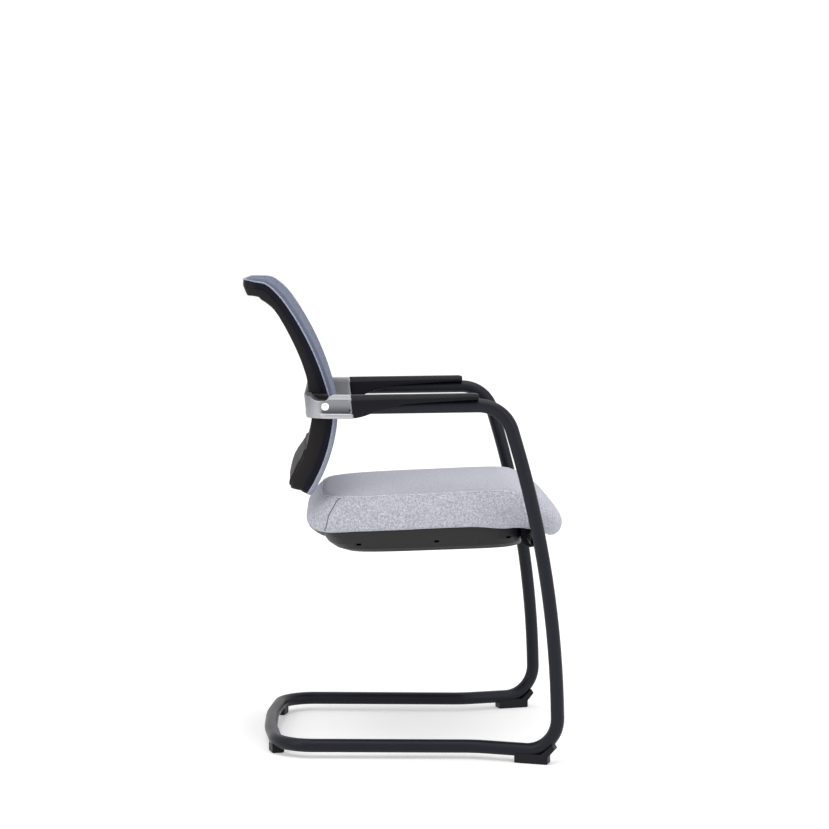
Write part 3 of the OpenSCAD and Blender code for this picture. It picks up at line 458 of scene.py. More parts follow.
# %% Plywood
def plywood():
    f = Finish("beech_plywood", Specular_IOR_Level=0.35)
    along = f.place(stretch=(0.08, 1, 1))
    grain = f.noise(along, 5, 5, 0.6)
    pores = f.noise(f.place(stretch=(0.2, 3, 3)), 2, 3, 0.5).step(0.56, 0.7)
    base = f.blend(grain.step(0.3, 0.7), paint(205, 172, 128), paint(182, 145, 101))
    f.use(Base_Color=f.blend(pores * 0.5, base, paint(120, 88, 58)), Roughness=grain * 0.15 + 0.5)
    f.relief(grain - pores * 0.5, 0.15, 0.5)
    return f.material


finishes["plywood"] = plywood()
print("plywood")

# %% [markdown]
# ## Grey melange felt
# The seat's cover is felted wool: white, mid grey and blue grey fibres carded together and pressed.
# From a metre away they read as speckle two to five millimetres across, which is what makes the
# cloth look warm and thick. Close up there are single hairs. Both sizes are drawn, the hairs as
# noise pulled long in three directions, and the nap gets a dry, powdery sheen.

# %% Felt
# How each of three crops of hairs is turned and stretched
HAIR_TURNS = [
    ((0, 0, 0.4), (1, 0.12, 0.3)),
    ((0.3, 0.5, 1.9), (0.14, 1, 0.3)),
    ((1.2, 0.2, 0.9), (0.25, 0.2, 1)),
]


def felt(name, shade=1.0):
    """The felt, lighter or darker by shade. Where the attribute "panel" is 1, shade is painted into the
    colour, which turns greyer and darker.
    """

    def wool(r, g, b):
        return paint(r * shade, g * shade, b * shade)

    f = Finish(name, Specular_IOR_Level=0.15, Sheen_Weight=0.35, Sheen_Roughness=0.6)
    f.shader.inputs["Sheen Tint"].default_value = (0.9, 0.92, 1, 1)
    where = f.place()
    tufts = f.noise(where, 3.6, 4, 0.66)
    specks = f.noise(where, 1.7, 3, 0.6)
    hairs = [f.noise(f.place(turn, stretch), 0.35, 2, 0.5) for turn, stretch in HAIR_TURNS]
    hair = (hairs[0] + hairs[1] + hairs[2]) * 0.333
    dark = (tufts * 0.55 + specks * 0.45).step(0.40, 0.62)
    base = f.blend(dark, wool(152, 154, 167), wool(210, 210, 218))
    deep = (f.noise(where, 2.6, 3, 0.6) * 0.6 + hair * 0.4).step(0.53, 0.62)
    base = f.blend(deep * 0.42, base, wool(118, 121, 137))
    base = f.blend(hair.step(0.5, 0.6) * 0.3, base, paint(232, 232, 238))
    # Painted shade: the top panel and the nose are painted darker where the attribute "panel" says
    f.use(Base_Color=f.blend(f.mark("panel") * 0.42, base, wool(152, 153, 160)))
    f.use(Roughness=tufts * 0.1 + 0.85)
    f.relief(tufts * 0.5 + hair + specks * 0.4, 0.55, 0.6)
    return f.material


finishes["seat_felt"] = felt("seat_felt")
print("melange felt")

# %% [markdown]
# ## Stretched knit
# The backrest is covered with a spacer knit: rows of small oval pores between plump blue grey ribs,
# pulled tight over the frame. The pattern follows the cloth, so it is drawn on the piece's own UV
# map, which is written in metres of cloth: columns of stitches every 2.2 mm, courses every 1.6 mm.

# %% Knit
# In metres: a column of stitches, the two courses after which the pores line up again, half the
# panel's width and length, and the distance over which the painted sheen at its edge fades in
COLUMN, TWO_COURSES = 0.0022, 0.0032
PANEL_X, PANEL_V, FADE = 0.22, 0.237, 0.0025


def knit(name, pore, rib, crest):
    """The knit, coloured from the depth of its pores to the crest of its ribs."""
    f = Finish(name, Specular_IOR_Level=0.2, Sheen_Weight=0.3, Sheen_Roughness=0.5)
    f.shader.inputs["Sheen Tint"].default_value = (0.75, 0.82, 1, 1)
    spot = f.node("ShaderNodeSeparateXYZ", {}, {"Vector": f.flat()})
    across, along = spot.out("X"), spot.out("Y")
    yarn = f.noise(f.flat(stretch=(1, 0.25, 1)), 0.5, 2, 0.5)
    columns = (across * (2 * math.pi / COLUMN)).cosine()
    courses = (along * (2 * math.pi / TWO_COURSES)).cosine()
    cells = columns * courses * 0.5 + 0.5
    ribs = cells.step(0.12, 0.62)
    drift = f.noise(f.flat(), 45, 3, 0.6)
    base = f.blend(ribs, pore, rib)
    base = f.blend(yarn.step(0.4, 0.7) * ribs * 0.6, base, crest)
    base = f.blend(drift.step(0.3, 0.8) * 0.25, base, pore)
    # Where the cloth turns over the edge it is painted paler, a painted sheen, strongest near the lower end
    sides = f.math("ABSOLUTE", across - PANEL_X).step(PANEL_X - FADE, PANEL_X + FADE)
    ends = f.math("ABSOLUTE", along - PANEL_V).step(PANEL_V - FADE, PANEL_V + FADE)
    painted_edge_sheen = f.math("MAXIMUM", sides, ends) * (0.8 - along.step(0.1, 0.2) * 0.62)
    f.use(Base_Color=f.blend(painted_edge_sheen, base, paint(158, 163, 180)))
    f.use(Roughness=yarn * 0.15 + 0.7)
    f.relief(ribs + yarn * 0.4, 0.5, 0.7)
    return f.material


finishes["back_mesh"] = knit("back_knit", paint(46, 52, 71), paint(90, 98, 123), paint(116, 124, 148))
print("spacer knit")

# %% [markdown]
# ## Every solid gets its finish
# The record says which slot each solid takes its finish from, so one loop dresses them all.

# %% Dress the solids
for part in frame["record"]["subparts"]:
    mesh = nodes[part["node"]].data
    mesh.materials.clear()
    mesh.materials.append(finishes[part["material_slot"]])
print("dressed", len(nodes), "solids")

# %% [markdown]
# ## Shapes from a sheet of points
# Most of what follows is one kind of shape: a grid of points bent to a form, as a draper lays cloth
# or a pattern maker lofts a casting. A grid primitive is added, every point is moved by a rule that
# knows its column and row, and the seams that meet are merged. Keeping the grid's rows and columns
# gives clean, even faces, a UV map for the cloth, and edges whose roundness is simply more rows.

# %% Forming a grid
def finish_piece(o, name, material, angle=35):
    """Names a piece, gives it its finish and puts it on the chair."""
    o.name = o.data.name = name
    o.data.materials.clear()
    o.data.materials.append(finishes[material])
    deselect()
    o.select_set(True)
    bpy.context.view_layer.objects.active = o
    bpy.ops.object.transform_apply(location=True, rotation=True, scale=True)
    bpy.ops.object.shade_smooth_by_angle(angle=math.radians(angle))
    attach(o, "root")
    return o


def formed_grid(columns, rows, place, flat=None):
    """A grid of that many faces whose points go to place(u, v), u and v from 0 to 1."""
    deselect()
    bpy.ops.mesh.primitive_grid_add(x_subdivisions=columns, y_subdivisions=rows, size=1, calc_uvs=True)
    o = bpy.context.object
    spots = [(v.co.x + 0.5, v.co.y + 0.5) for v in o.data.vertices]
    for vertex, (u, v) in zip(o.data.vertices, spots):
        vertex.co = place(u, v)
    if flat:
        layer = o.data.uv_layers[0].data
        for loop in o.data.loops:
            layer[loop.index].uv = flat(*spots[loop.vertex_index])
    return o


def closed_up(o, caps=True):
    """Merges the edges of a formed grid that meet, closes its open ends and turns its faces outward."""
    deselect()
    o.select_set(True)
    bpy.context.view_layer.objects.active = o
    bpy.ops.object.mode_set(mode="EDIT")
    bpy.ops.mesh.select_all(action="SELECT")
    bpy.ops.mesh.remove_doubles(threshold=0.00002)
    if caps:
        bpy.ops.mesh.select_all(action="DESELECT")
        open_edges = {"use_wire": False, "use_multi_face": False, "use_verts": False}
        bpy.ops.mesh.select_non_manifold(extend=False, **open_edges)
        bpy.ops.mesh.fill_holes(sides=0)
    bpy.ops.mesh.select_all(action="SELECT")
    bpy.ops.mesh.normals_make_consistent(inside=False)
    bpy.ops.object.mode_set(mode="OBJECT")
    return o


def modify(o, kind, **settings):
    """Adds a modifier and applies it, as a finished piece keeps none."""
    deselect()
    o.select_set(True)
    bpy.context.view_layer.objects.active = o
    m = o.modifiers.new(kind.lower(), kind)
    for name, value in settings.items():
        setattr(m, name, value)
    bpy.ops.object.modifier_apply(modifier=m.name)
    return o


print("grids can be formed")

# %% [markdown]
# ## The frame tube
# The real tube is drawn straight from the mill and bent cold on a mandrel, so it keeps one round
# section everywhere. A curve with a round bevel is the natural way to draw it: straight runs meet
# in arcs of the bender's radii. The corners are listed once for one side, and the other side is
# its mirror image. The points along each arc lie three degrees apart, so no highlight shows a kink.

# %% The tube's line
ARM_X, RAIL_X, FLOOR_X = 292, 231.5, 279.5
ARM_END_S, ARM_BEND_S, ARM_BEND_Z, RAIL_Z = 112, 426, 663, 23.5
ARM_SLOPE, LEG_LEAN = math.radians(1.3), math.radians(1.7)


def arm_z(s):
    """Height of the arm tube's middle at depth s."""
    return ARM_BEND_Z - (ARM_BEND_S - s) * math.tan(ARM_SLOPE)


KNEE_Z, FOOT_S = 348, 534
KNEE_S = FOOT_S - (KNEE_Z - RAIL_Z) * math.tan(LEG_LEAN)
KNEE_X = FLOOR_X + (ARM_X - FLOOR_X) * (KNEE_Z - RAIL_Z) / (ARM_BEND_Z - RAIL_Z)
CORNERS = [
    (ARM_X, ARM_END_S, arm_z(ARM_END_S)), (ARM_X, ARM_BEND_S, ARM_BEND_Z), (KNEE_X, KNEE_S, KNEE_Z),
    (FLOOR_X, FOOT_S, RAIL_Z), (RAIL_X, 384, RAIL_Z), (RAIL_X, 19, RAIL_Z), (0.28 * RAIL_X, 0, RAIL_Z),
]
# The bending radius at each corner. The knee's is worked out below, to fill its two straight runs
BENDS = [0, 64, None, 61, 140, 72, 500]
KNEE_ROOM = 3


def turn_at(points, i):
    """The directions before and after a corner, and the angle between them."""
    a, b = (points[i] - points[i - 1]).normalized(), (points[i + 1] - points[i]).normalized()
    return a, b, a.angle(b)


def bent_line(points, radii):
    """Points along straight runs joined by round bends."""
    line = [points[0]]
    for i in range(1, len(points) - 1):
        a, b, angle = turn_at(points, i)
        r = radii[i]
        square = (b - a * math.cos(angle)).normalized()
        centre = points[i] - a * r * math.tan(angle / 2) + square * r
        steps = max(2, round(math.degrees(angle) / (3 if r < 300 else 1)))
        for k in range(steps + 1):
            t = angle * k / steps
            line.append(centre + (a * math.sin(t) - square * math.cos(t)) * r)
    return line + [points[-1]]


half = [Vector(p) for p in CORNERS]
_, _, bow = turn_at(half, 2)
_, _, foot = turn_at(half, 3)
_, _, arm = turn_at(half, 1)
below = (half[3] - half[2]).length - BENDS[3] * math.tan(foot / 2)
above = (half[2] - half[1]).length - BENDS[1] * math.tan(arm / 2)
BENDS[2] = (min(below, above) - KNEE_ROOM) / math.tan(bow / 2)
whole = half + [Vector((-p.x, p.y, p.z)) for p in reversed(half)]
TUBE_LINE = [at(*p) for p in bent_line(whole, BENDS + BENDS[::-1])]
print(f"{len(TUBE_LINE)} points, bow radius {BENDS[2]:.0f} mm")


# %% Drawing a rod along a line
def rod(points, radius, sides=24, closed=False):
    """A round rod along points in metres, as a mesh with closed ends."""
    deselect()
    bpy.ops.curve.primitive_bezier_curve_add()
    o = bpy.context.object
    o.location = (0, 0, 0)
    o.data.dimensions = "3D"
    o.data.splines.clear()
    spline = o.data.splines.new("POLY")
    spline.points.add(len(points) - 1)
    for dot, p in zip(spline.points, points):
        dot.co = (*p, 1)
    spline.use_cyclic_u = closed
    o.data.bevel_depth = radius
    o.data.bevel_resolution = sides // 2 - 2
    o.data.use_fill_caps = not closed
    bpy.ops.object.convert(target="MESH")
    return closed_up(bpy.context.object, caps=False)


tube = finish_piece(rod(TUBE_LINE, TUBE_R / 1000, 40), "frame_loop", "tube_paint")
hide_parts("frame_tube")
print("frame tube:", len(tube.data.polygons), "faces")

# %% [markdown]
# ## The line of the backrest
# Seen from the side, the backrest is one flowing line: it bulges forward at the small of the back,
# leans away above it and curls over at the top. It was drawn as arcs that meet smoothly, and the
# same arcs are walked here. Everything on the backrest is then placed by three numbers: x across,
# v along the line from its lower end, and d, the depth behind it (negative is in front).

# %% Walk the line of the backrest
LUMBAR = (114.0, 630.0)
LOWER = [(62, 5.5), (300, 27.5)]
UPPER = [(59, 12), (525, 24), (162, 15), (29, 38.5)]
LIP = 30
ARC_STEPS = 24


def arc(s, z, h, r, a, k):
    """The point and heading at share k of an arc of radius r that turns by a degrees."""
    h0, h1 = math.radians(h), math.radians(h + a * k)
    return s + r * (math.cos(h1) - math.cos(h0)), z + r * (math.sin(h1) - math.sin(h0)), h + a * k


def walk(arcs, way):
    """Rows of length, depth, height and heading from the lumbar point: up for way 1, down for -1."""
    rows = [(0.0, *LUMBAR, 0)]
    for r, a in arcs:
        v, *spot = rows[-1]
        steps = [k / ARC_STEPS for k in range(1, ARC_STEPS + 1)]
        rows += [(v + way * math.radians(a) * r * k, *arc(*spot, r, way * a, k)) for k in steps]
    return rows


def walk_backrest():
    """The whole line from its lower end, with the straight lip on top."""
    down, up = walk(LOWER, -1), walk(UPPER, 1)
    v, s, z, heading = up[-1]
    h = math.radians(heading)
    up.append((v + LIP, s - LIP * math.sin(h), z + LIP * math.cos(h), heading))
    first = down[-1][0]
    return [(v - first, s, z, h) for v, s, z, h in down[:0:-1] + up]


BACK_LINE = walk_backrest()
BACK_L = BACK_LINE[-1][0]


def table(rows, x):
    """Reads a table of rows, in rising order of their first number, at x."""
    if x <= rows[0][0]:
        return rows[0][1:]
    for a, b in zip(rows, rows[1:]):
        if x <= b[0]:
            k = (x - a[0]) / (b[0] - a[0])
            return tuple(p + (q - p) * k for p, q in zip(a[1:], b[1:]))
    return rows[-1][1:]


def back_z(v):
    return table(BACK_LINE, v)[1]


def v_at(z):
    """How far along the backrest its line is z high."""
    return table([(row[2], row[0]) for row in BACK_LINE], z)[0]


BELOW_TURN = 0.75


def on_back(x, v, d):
    """The point at width x, v along the backrest and d behind its line. Below the small of the back
    the depth runs a little flatter than square to the line, as the photograph shows."""
    s, z, h = table(BACK_LINE, v)
    h = math.radians(h * (BELOW_TURN if h < 0 else 1))
    return at(x, s - d * math.cos(h), z - d * math.sin(h))


print(f"backrest is {BACK_L:.0f} mm along its curve, from z {back_z(0):.0f} to {back_z(BACK_L):.0f}")

# %% [markdown]
# ## The knit, stretched
# The cover is cut as a flat panel, pulled over the carrier and clipped behind its edge. So it is one
# sheet: flat where it spans the window, sinking a little between the rails because it is only held
# at its edges, and wrapped over a round edge on all four sides. The grid's outer rows make the wrap:
# each is set by how far it lies inside the outline and by its share of the way forward from the
# edge to the face. A corner's square of points is squeezed into a quarter disc, which rounds it
# without breaking a row of stitches.

# %% The knit sheet
BACK_HALF, LOW_R, TOP_R = 220, 18, 26
WRAP = [(0, 0), (0, 0.32), (0.15, 0.6), (0.9, 0.81), (2.2, 0.95), (4.2, 1)]
WRAP_W, KNIT_FACE, SAG = 8, 9, 2.2
# Half the width of the cloth that hangs free, and where it starts and ends along the backrest
FREE_HALF, FREE_LOW, FREE_HIGH, FREE_EASE = 196, 118, BACK_L - 68, 60


def knit_rows(length, steps):
    """Places of the grid's rows over that length: the wrap, even rows, and the wrap again."""
    wrap = [w[0] for w in WRAP]
    even = [WRAP_W + (length - 2 * WRAP_W) * k / steps for k in range(steps + 1)]
    return wrap + even + [length - w for w in reversed(wrap)]


KNIT_X, KNIT_V = knit_rows(2 * BACK_HALF, 50), knit_rows(BACK_L, 96)


def cornered(x, v):
    """Squeezes the square corners of the panel round."""
    r, end = (LOW_R, 0) if v < BACK_L / 2 else (TOP_R, BACK_L)
    a, b = abs(x) - (BACK_HALF - r), abs(v - end) - r
    if a > 0 and b < 0:
        b = -b
        k = max(a, b) / math.hypot(a, b)
        x = math.copysign(BACK_HALF - r + a * k, x)
        v = r - b * k if end == 0 else BACK_L - r + b * k
    return x, v


def edge_depth(v):
    """Depth of the cloth's edge: it rises to the front where the top curls over."""
    return -0.5 - 4.4 * smooth(BACK_L - 32, BACK_L - 3, v)


def knit_depth(v, share):
    """Depth of the cloth, from share 0 at its edge to 1 on its face."""
    return edge_depth(v) * (1 - share) - (KNIT_FACE - 1.3 * smooth(BACK_L - 75, BACK_L - 40, v)) * share


def sag(x, v):
    """How far the stretched cloth sinks between the rails and the crossbars."""
    across = max(0, 1 - (abs(x) / FREE_HALF) ** 2.2)
    along = max(0, min((v - FREE_LOW) / FREE_EASE, (FREE_HIGH - v) / FREE_EASE, 1))
    return SAG * across * smooth(0, 1, along)


def knit_cell(u, w):
    """The grid's column and row at u, w, and how many rows lie outside it on each of the four sides."""
    last_i, last_j = len(KNIT_X) - 1, len(KNIT_V) - 1
    i, j = round(u * last_i), round(w * last_j)
    return i, j, (i, j, last_i - i, last_j - j)


def knit_place(u, w):
    i, j, outside = knit_cell(u, w)
    ring = min(outside)
    x, v = cornered(KNIT_X[i] - BACK_HALF, KNIT_V[j])
    return on_back(x, v, knit_depth(v, WRAP[min(ring, len(WRAP) - 1)][1]) + sag(x, v))


def knit_flat(u, w):
    """Where that point lies on the flat cloth, in metres: the wrap adds 9 mm to each side."""
    i, j, outside = knit_cell(u, w)
    left, low, right, high = (9.0 - 1.7 * min(k, 5) for k in outside)
    return ((KNIT_X[i] - left + right) / 1000, (KNIT_V[j] - low + high) / 1000)


panel = formed_grid(len(KNIT_X) - 1, len(KNIT_V) - 1, knit_place, knit_flat)
closed_up(panel, caps=False)
area = sum(p.area for p in panel.data.polygons)
modify(panel, "SOLIDIFY", thickness=0.0014, offset=-1.0)
finish_piece(panel, "back_knit", "back_mesh", 60)
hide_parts("back_mesh")
print(f"knit: {len(panel.data.polygons)} faces, {area:.3f} square metres")

# %% [markdown]
# ## The seat's own directions
# The seat slopes up three degrees towards the front and turns about the cross tube. Its pieces are
# placed by x across, y behind that tube along the slope, and z square to it.

# %% Places on the seat
CROSS = (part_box("cross_tube")[0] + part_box("cross_tube")[1]) * 500
SLOPE = math.radians(3)
# Half the seat's width, how far it reaches before and behind the cross tube, and its rim's height
CUSHION_HALF, NOSE, REAR, RIM = 242, 64, 421, 25


def on_seat(x, y, z):
    """The point at those three places of the seat, in metres."""
    deep = CROSS.y + y * math.cos(SLOPE) + z * math.sin(SLOPE)
    return Vector((x, deep, CROSS.z - y * math.sin(SLOPE) + z * math.cos(SLOPE))) / 1000


def squared_oval(t, half, rear, front, n):
    """A point at angle t of an oval that is squarer the larger n is."""
    c, s = math.cos(t), math.sin(t)
    x = half * math.copysign(abs(c) ** (2 / n), c)
    y = (rear - front) / 2 + (rear + front) / 2 * math.copysign(abs(s) ** (2 / n), s)
    return x, y


print(f"cross tube at height {CROSS.z:.0f} mm")

# %% [markdown]
# ## The cushion
# The seat is moulded foam under a cover sewn from a top panel and a boxing strip. The strip leans
# out towards its lower edge, turns under it and is stapled to the board, and the front falls over
# in a soft nose. A cushion could be carved straight from its measured outline, but cloth held by
# seams has a swell of its own. So the outline is built a few millimetres too small, remeshed evenly,
# and blown up as cloth that is pinned where the real cover is stapled and held where it is sewn.
# Each point may move only so far, which keeps the foam's shape.

# %% The cushion's outline, a little small
DROP, BOARD_HALF, MIDDLE_Y = 28, 215, 180


def fall(y, front):
    """The nose's share of its drop: none behind y 30, all of it at the front."""
    return max(0, (30 - y) / (30 + front)) ** 1.8


def tuck(x, y):
    """How far the cover reaches down over the board's edge in front of the pan."""
    pan_front = 12 + 42 * min(1, abs(x) / BOARD_HALF) ** 5
    return 6.5 * smooth(pan_front + 62, pan_front - 6, y) + 3 * smooth(330, 390, y)


SLICES = [
    # height over the rim, in from the side, rear and front, squareness, share of the nose's drop
    (0, 10, 26, 21, 6, 1), (3, 3, 11, 8, 6, 1), (14, 0, 0, 0, 6, 1), (30, 1, 3, 1, 6, 1),
    (48, 6, 15, 13, 5.8, 0.96), (61, 11, 29, 26, 5.6, 0.86), (66, 14, 35, 42, 5.5, 0.4),
]
SEAM_ROW, SEAM_H, CROWN = len(SLICES) - 1, SLICES[-1][0], 14.5


def flowing(a, b, c, d, k):
    """A curve from b at k = 0 to c at k = 1, which comes from a and goes on to d."""
    bend, twist = 2 * a - 5 * b + 4 * c - d, 3 * b - a - 3 * c + d
    return 0.5 * (2 * b + (c - a) * k + bend * k * k + twist * k**3)


def slice_point(t, row, shrink=0.0):
    """A point of the cushion's side at angle t and row 0 to 6, drawn in by shrink."""
    i = min(int(row), SEAM_ROW - 1)
    near = [SLICES[min(max(j, 0), SEAM_ROW)] for j in range(i - 1, i + 3)]
    h, side, rear, front, n, sink = [flowing(*four, row - i) for four in zip(*near)]
    x, y = squared_oval(t, CUSHION_HALF - side - shrink, REAR - rear - shrink, NOSE - front - shrink, n)
    return x, y, RIM + h - sink * DROP * fall(y, NOSE - front) - tuck(x, y) * max(0, 1 - row / 2)


def crown_point(t, k):
    """A point of the top panel: k is 1 at the seam and 0 in the middle."""
    x, y, z = slice_point(t, SEAM_ROW)
    mid = (REAR - NOSE) / 2
    rise = (CROWN - TOP_SHRINK) * (1 - k**2.6)
    return x * k, mid + (y - mid) * k, RIM + SEAM_H + rise + (z - RIM - SEAM_H) * k**5


SIDE_ROWS, TOP_ROWS, UNDER_ROWS = 30, 22, 6
SIDE_SHRINK, TOP_SHRINK = 1.2, 3.5


def cushion_place(u, w):
    """The rows run from the middle of the underside out, up the side and in over the top."""
    t = 2 * math.pi * u + 0.002
    row = round(w * (SIDE_ROWS + TOP_ROWS + UNDER_ROWS))
    if row < UNDER_ROWS:
        x, y, z = slice_point(t, 0, SIDE_SHRINK)
        k = row / UNDER_ROWS
        return on_seat(x * k, MIDDLE_Y + (y - MIDDLE_Y) * k, RIM + 8 + (z - RIM - 8) * k**6)
    if row <= UNDER_ROWS + SIDE_ROWS:
        share = (row - UNDER_ROWS) / SIDE_ROWS
        return on_seat(*slice_point(t, SEAM_ROW * share, SIDE_SHRINK * math.sin(math.pi * share)))
    k = 1 - (row - UNDER_ROWS - SIDE_ROWS) / TOP_ROWS
    return on_seat(*crown_point(t, k**1.2))


cushion = formed_grid(220, SIDE_ROWS + TOP_ROWS + UNDER_ROWS, cushion_place)
closed_up(cushion)
print("cushion outline:", len(cushion.data.vertices), "points")


# %% Blow the cover up
def seat_row(p):
    """Height of a point over the seat's rim, in millimetres."""
    y, z = p.y * 1000 - CROSS.y, p.z * 1000 - CROSS.z
    return y * math.sin(SLOPE) + z * math.cos(SLOPE) - RIM


FRAMES = 20


def blow_up(o, voxel, held, pressure, cap):
    """Remeshes o evenly, then lets pressure swell it as cloth, but no point by more than cap.
    held(point) is 1 where the cloth is pinned. Gives back the farthest that it moved."""
    o.data.remesh_voxel_size = voxel
    deselect()
    o.select_set(True)
    bpy.context.view_layer.objects.active = o
    bpy.ops.object.voxel_remesh()
    start = [v.co.copy() for v in o.data.vertices]
    group = o.vertex_groups.new(name="held")
    for v in o.data.vertices:
        weight = held(v.co)
        if weight > 0:
            group.add([v.index], weight, "REPLACE")
    cloth = o.modifiers.new("cloth", "CLOTH")
    s = cloth.settings
    s.quality, s.mass, s.air_damping = 6, 0.3, 4
    s.tension_stiffness = s.compression_stiffness = s.shear_stiffness = 18
    s.bending_stiffness = 3
    s.use_pressure, s.uniform_pressure_force = True, pressure
    s.vertex_group_mass, s.pin_stiffness = "held", 1.2
    s.effector_weights.gravity = 0
    cloth.collision_settings.use_collision = False
    scene.frame_start, scene.frame_end = 1, FRAMES
    for f in range(1, FRAMES + 1):
        scene.frame_set(f)
    bpy.ops.object.modifier_apply(modifier="cloth")
    scene.frame_set(1)
    moved = 0.0
    for v, was in zip(o.data.vertices, start):
        step = v.co - was
        if step.length > cap:
            v.co = was + step * (cap / step.length)
        moved = max(moved, step.length)
    o.vertex_groups.clear()
    return moved


# Rows of the side at which the top seam runs, by y: down the nose's side, level, lower at the rear
SEAM_ROWS = [
    (10, 1.2), (12, 2.4), (15, 3.4), (20, 4.3), (33, 4.95), (45, 5.35), (60, 5.7), (79, 6), (335, 6),
    (378, 5.7), (386, 5.2),
]


def side_point(side, row, y):
    """The point of the cushion's left or right side at that row and depth."""
    low, high = -math.pi / 2 + 0.001, math.pi / 2 - 0.001
    for _ in range(40):
        t = (low + high) / 2
        low, high = (t, high) if slice_point(t, row)[1] < y else (low, t)
    x, y, z = slice_point(t, row)
    return on_seat(side * x, y, z), t


flank = [10 + 0.6 * k for k in range(20)] + [22 + 4 * k for k in range(90)]
right_flank, left_flank = ([side_point(side, table(SEAM_ROWS, y)[0], y) for y in flank] for side in (-1, 1))
turn = left_flank[-1][1]
around = [turn + (math.pi - 2 * turn) * k / 140 for k in range(1, 140)]
rear_seam = [on_seat(*slice_point(t, table(SEAM_ROWS, slice_point(t, SEAM_ROW)[1])[0])) for t in around]
SEAM_LINE = [p for p, _ in left_flank] + rear_seam + [p for p, _ in reversed(right_flank)]


def nearby(points):
    """A tree that finds the nearest of the points."""
    tree = KDTree(len(points))
    for k, p in enumerate(points):
        tree.insert(p, k)
    tree.balance()
    return tree


seam_tree = nearby(SEAM_LINE)


def seam_distance(p):
    """Distance of a point from the seam between top panel and boxing, in millimetres."""
    return seam_tree.find(p)[2] * 1000


# The staples' height over the rim, and distances from the seam: clear of it, sewn, and beside it
STAPLED, CLEAR, SEWN, BESIDE = 3, 20, 3.2, 7


def cushion_held(p):
    """1 where the cover is stapled under the rim or sewn, less beside the seam, and 0 elsewhere."""
    away = seam_distance(p)
    if seat_row(p) < STAPLED and away > CLEAR:
        return 1.0
    return 1.0 if away < SEWN else 0.55 if away < BESIDE else 0.0


swell = blow_up(cushion, voxel=0.006, held=cushion_held, pressure=4, cap=0.024)
print(f"cover blown up by at most {swell * 1000:.1f} mm")

# %% [markdown]
# ## Seams
# Sewing pulls the foam in along a line a few millimetres wide. After the remesh no such narrow
# line is left, so it is pressed in now: points near a seam move inwards, most at the seam itself,
# on a mesh that has first been divided once more.

# %% Press the seams in
modify(cushion, "SUBSURF", levels=1, render_levels=1, subdivision_type="CATMULL_CLARK")
# Rows of the side and the depth at each, down which the thread of a rear corner runs
CORNER_ROWS = [(1.0, 386), (3.13, 378), (4.06, 367), (5.6, 352), (6.0, 346)]
rows = [1 + 5 * k / 40 for k in range(41)]
corner_lines = [[side_point(side, row, table(CORNER_ROWS, row)[0])[0] for row in rows] for side in (-1, 1)]
corner_tree = nearby(corner_lines[0] + corner_lines[1])
MIDDLE = on_seat(0, (REAR - NOSE) / 2, RIM + SEAM_H)
painted_top_shade = cushion.data.attributes.new("panel", "FLOAT", "POINT")
for v in cushion.data.vertices:
    spot, _, away = seam_tree.find(v.co)
    away *= 1000 * (1 if (v.co - MIDDLE).xy.length < (spot - MIDDLE).xy.length else -1)
    corner = corner_tree.find(v.co)[2] * 1000
    y = v.co.y * 1000 - CROSS.y
    rear, nose = smooth(300, 400, y), smooth(60, 25, y)
    valley = (1.6 + 1.8 * rear) * (1 - nose) * math.exp(-(((away - 5.5) / 5.0) ** 2)) if away > -6 else 0
    press = valley + 1.0 * math.exp(-((away / 2.6) ** 2)) + 1.3 * math.exp(-((corner / 2.6) ** 2))
    # The attribute "panel" paints shade into the felt: 1 on the top panel, 0.3 at the nose, so both render
    # darker
    on_top = smooth(-1, 3, away) * (1 - nose) if seat_row(v.co) > 20 else 0
    painted_top_shade.data[v.index].value = on_top + 0.3 * nose
    if press > 0.02:
        v.co = v.co - v.normal * press / 1000
finish_piece(cushion, "seat_cushion_felt", "seat_felt", 180)
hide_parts("seat_cushion")
print("cushion:", len(cushion.data.polygons), "faces")

# %% [markdown]
# The two parts of the cover meet in a thin welt, a folded edge that stands up as a light line: its
# felt is painted lighter than the seat's, a painted highlight. The boxing strip is pieced at the two
# rear corners with a dark thread. Both are thin rods laid on the finished cushion: each of their
# points is moved to the nearest point of the cloth.

# %% Welt and corner threads
def laid_on(o, points, lift):
    """The points, moved onto the surface of o and lifted off it by a number of millimetres."""
    bpy.context.view_layer.update()
    laid = []
    for p in points:
        _, spot, normal, _ = o.closest_point_on_mesh(p)
        laid.append(spot + normal * lift / 1000)
    return laid


# The welt's felt is painted 8 % lighter than the seat's, a painted highlight along the seam
finishes["welt"] = felt("welt_felt_painted_highlight", 1.08)
welt = rod(laid_on(cushion, SEAM_LINE, 0.45), 0.0016, 10)
finish_piece(welt, "seat_welt", "welt", 180)
for line, word in zip(corner_lines, ("right", "left")):
    thread = rod(laid_on(cushion, line, 0.1), 0.0007, 6)
    finish_piece(thread, f"corner_seam_{word}", "thread", 180)
print("one welt and two corner seams")

# %% [markdown]
# ## The yoke
# The yoke is one aluminium casting: a bar that runs round behind the backrest and forks forward to
# hold both arm tubes. A pattern maker would form it by sweeping one section along the U, and so
# does this grid: its rows walk the U and its columns walk the section. The section changes on the
# way: on the legs the outer face is sunk between two lips, the top edge dips where the side rails
# of the backrest pass, and both front ends lean with the pads that follow them. Every edge of the
# section is a small radius, as a casting can't have a sharp one.

# %% The yoke's plan and section
YOKE_Z, YOKE_H = 636.71, 42
YOKE_OUT, YOKE_IN = 310, 275.5
YOKE_FRONT, YOKE_BACK, YOKE_T, YOKE_R = 149, 64, 11, 45
LIP_LOW, LIP_HIGH, RECESS, DIP = 9, 7.5, 2.4, 9.5
CAP_S = YOKE_BACK + YOKE_R - 8
PAD_TILT = math.radians(7)
LEAN, REAR_LEAN = math.tan(PAD_TILT), 0.11


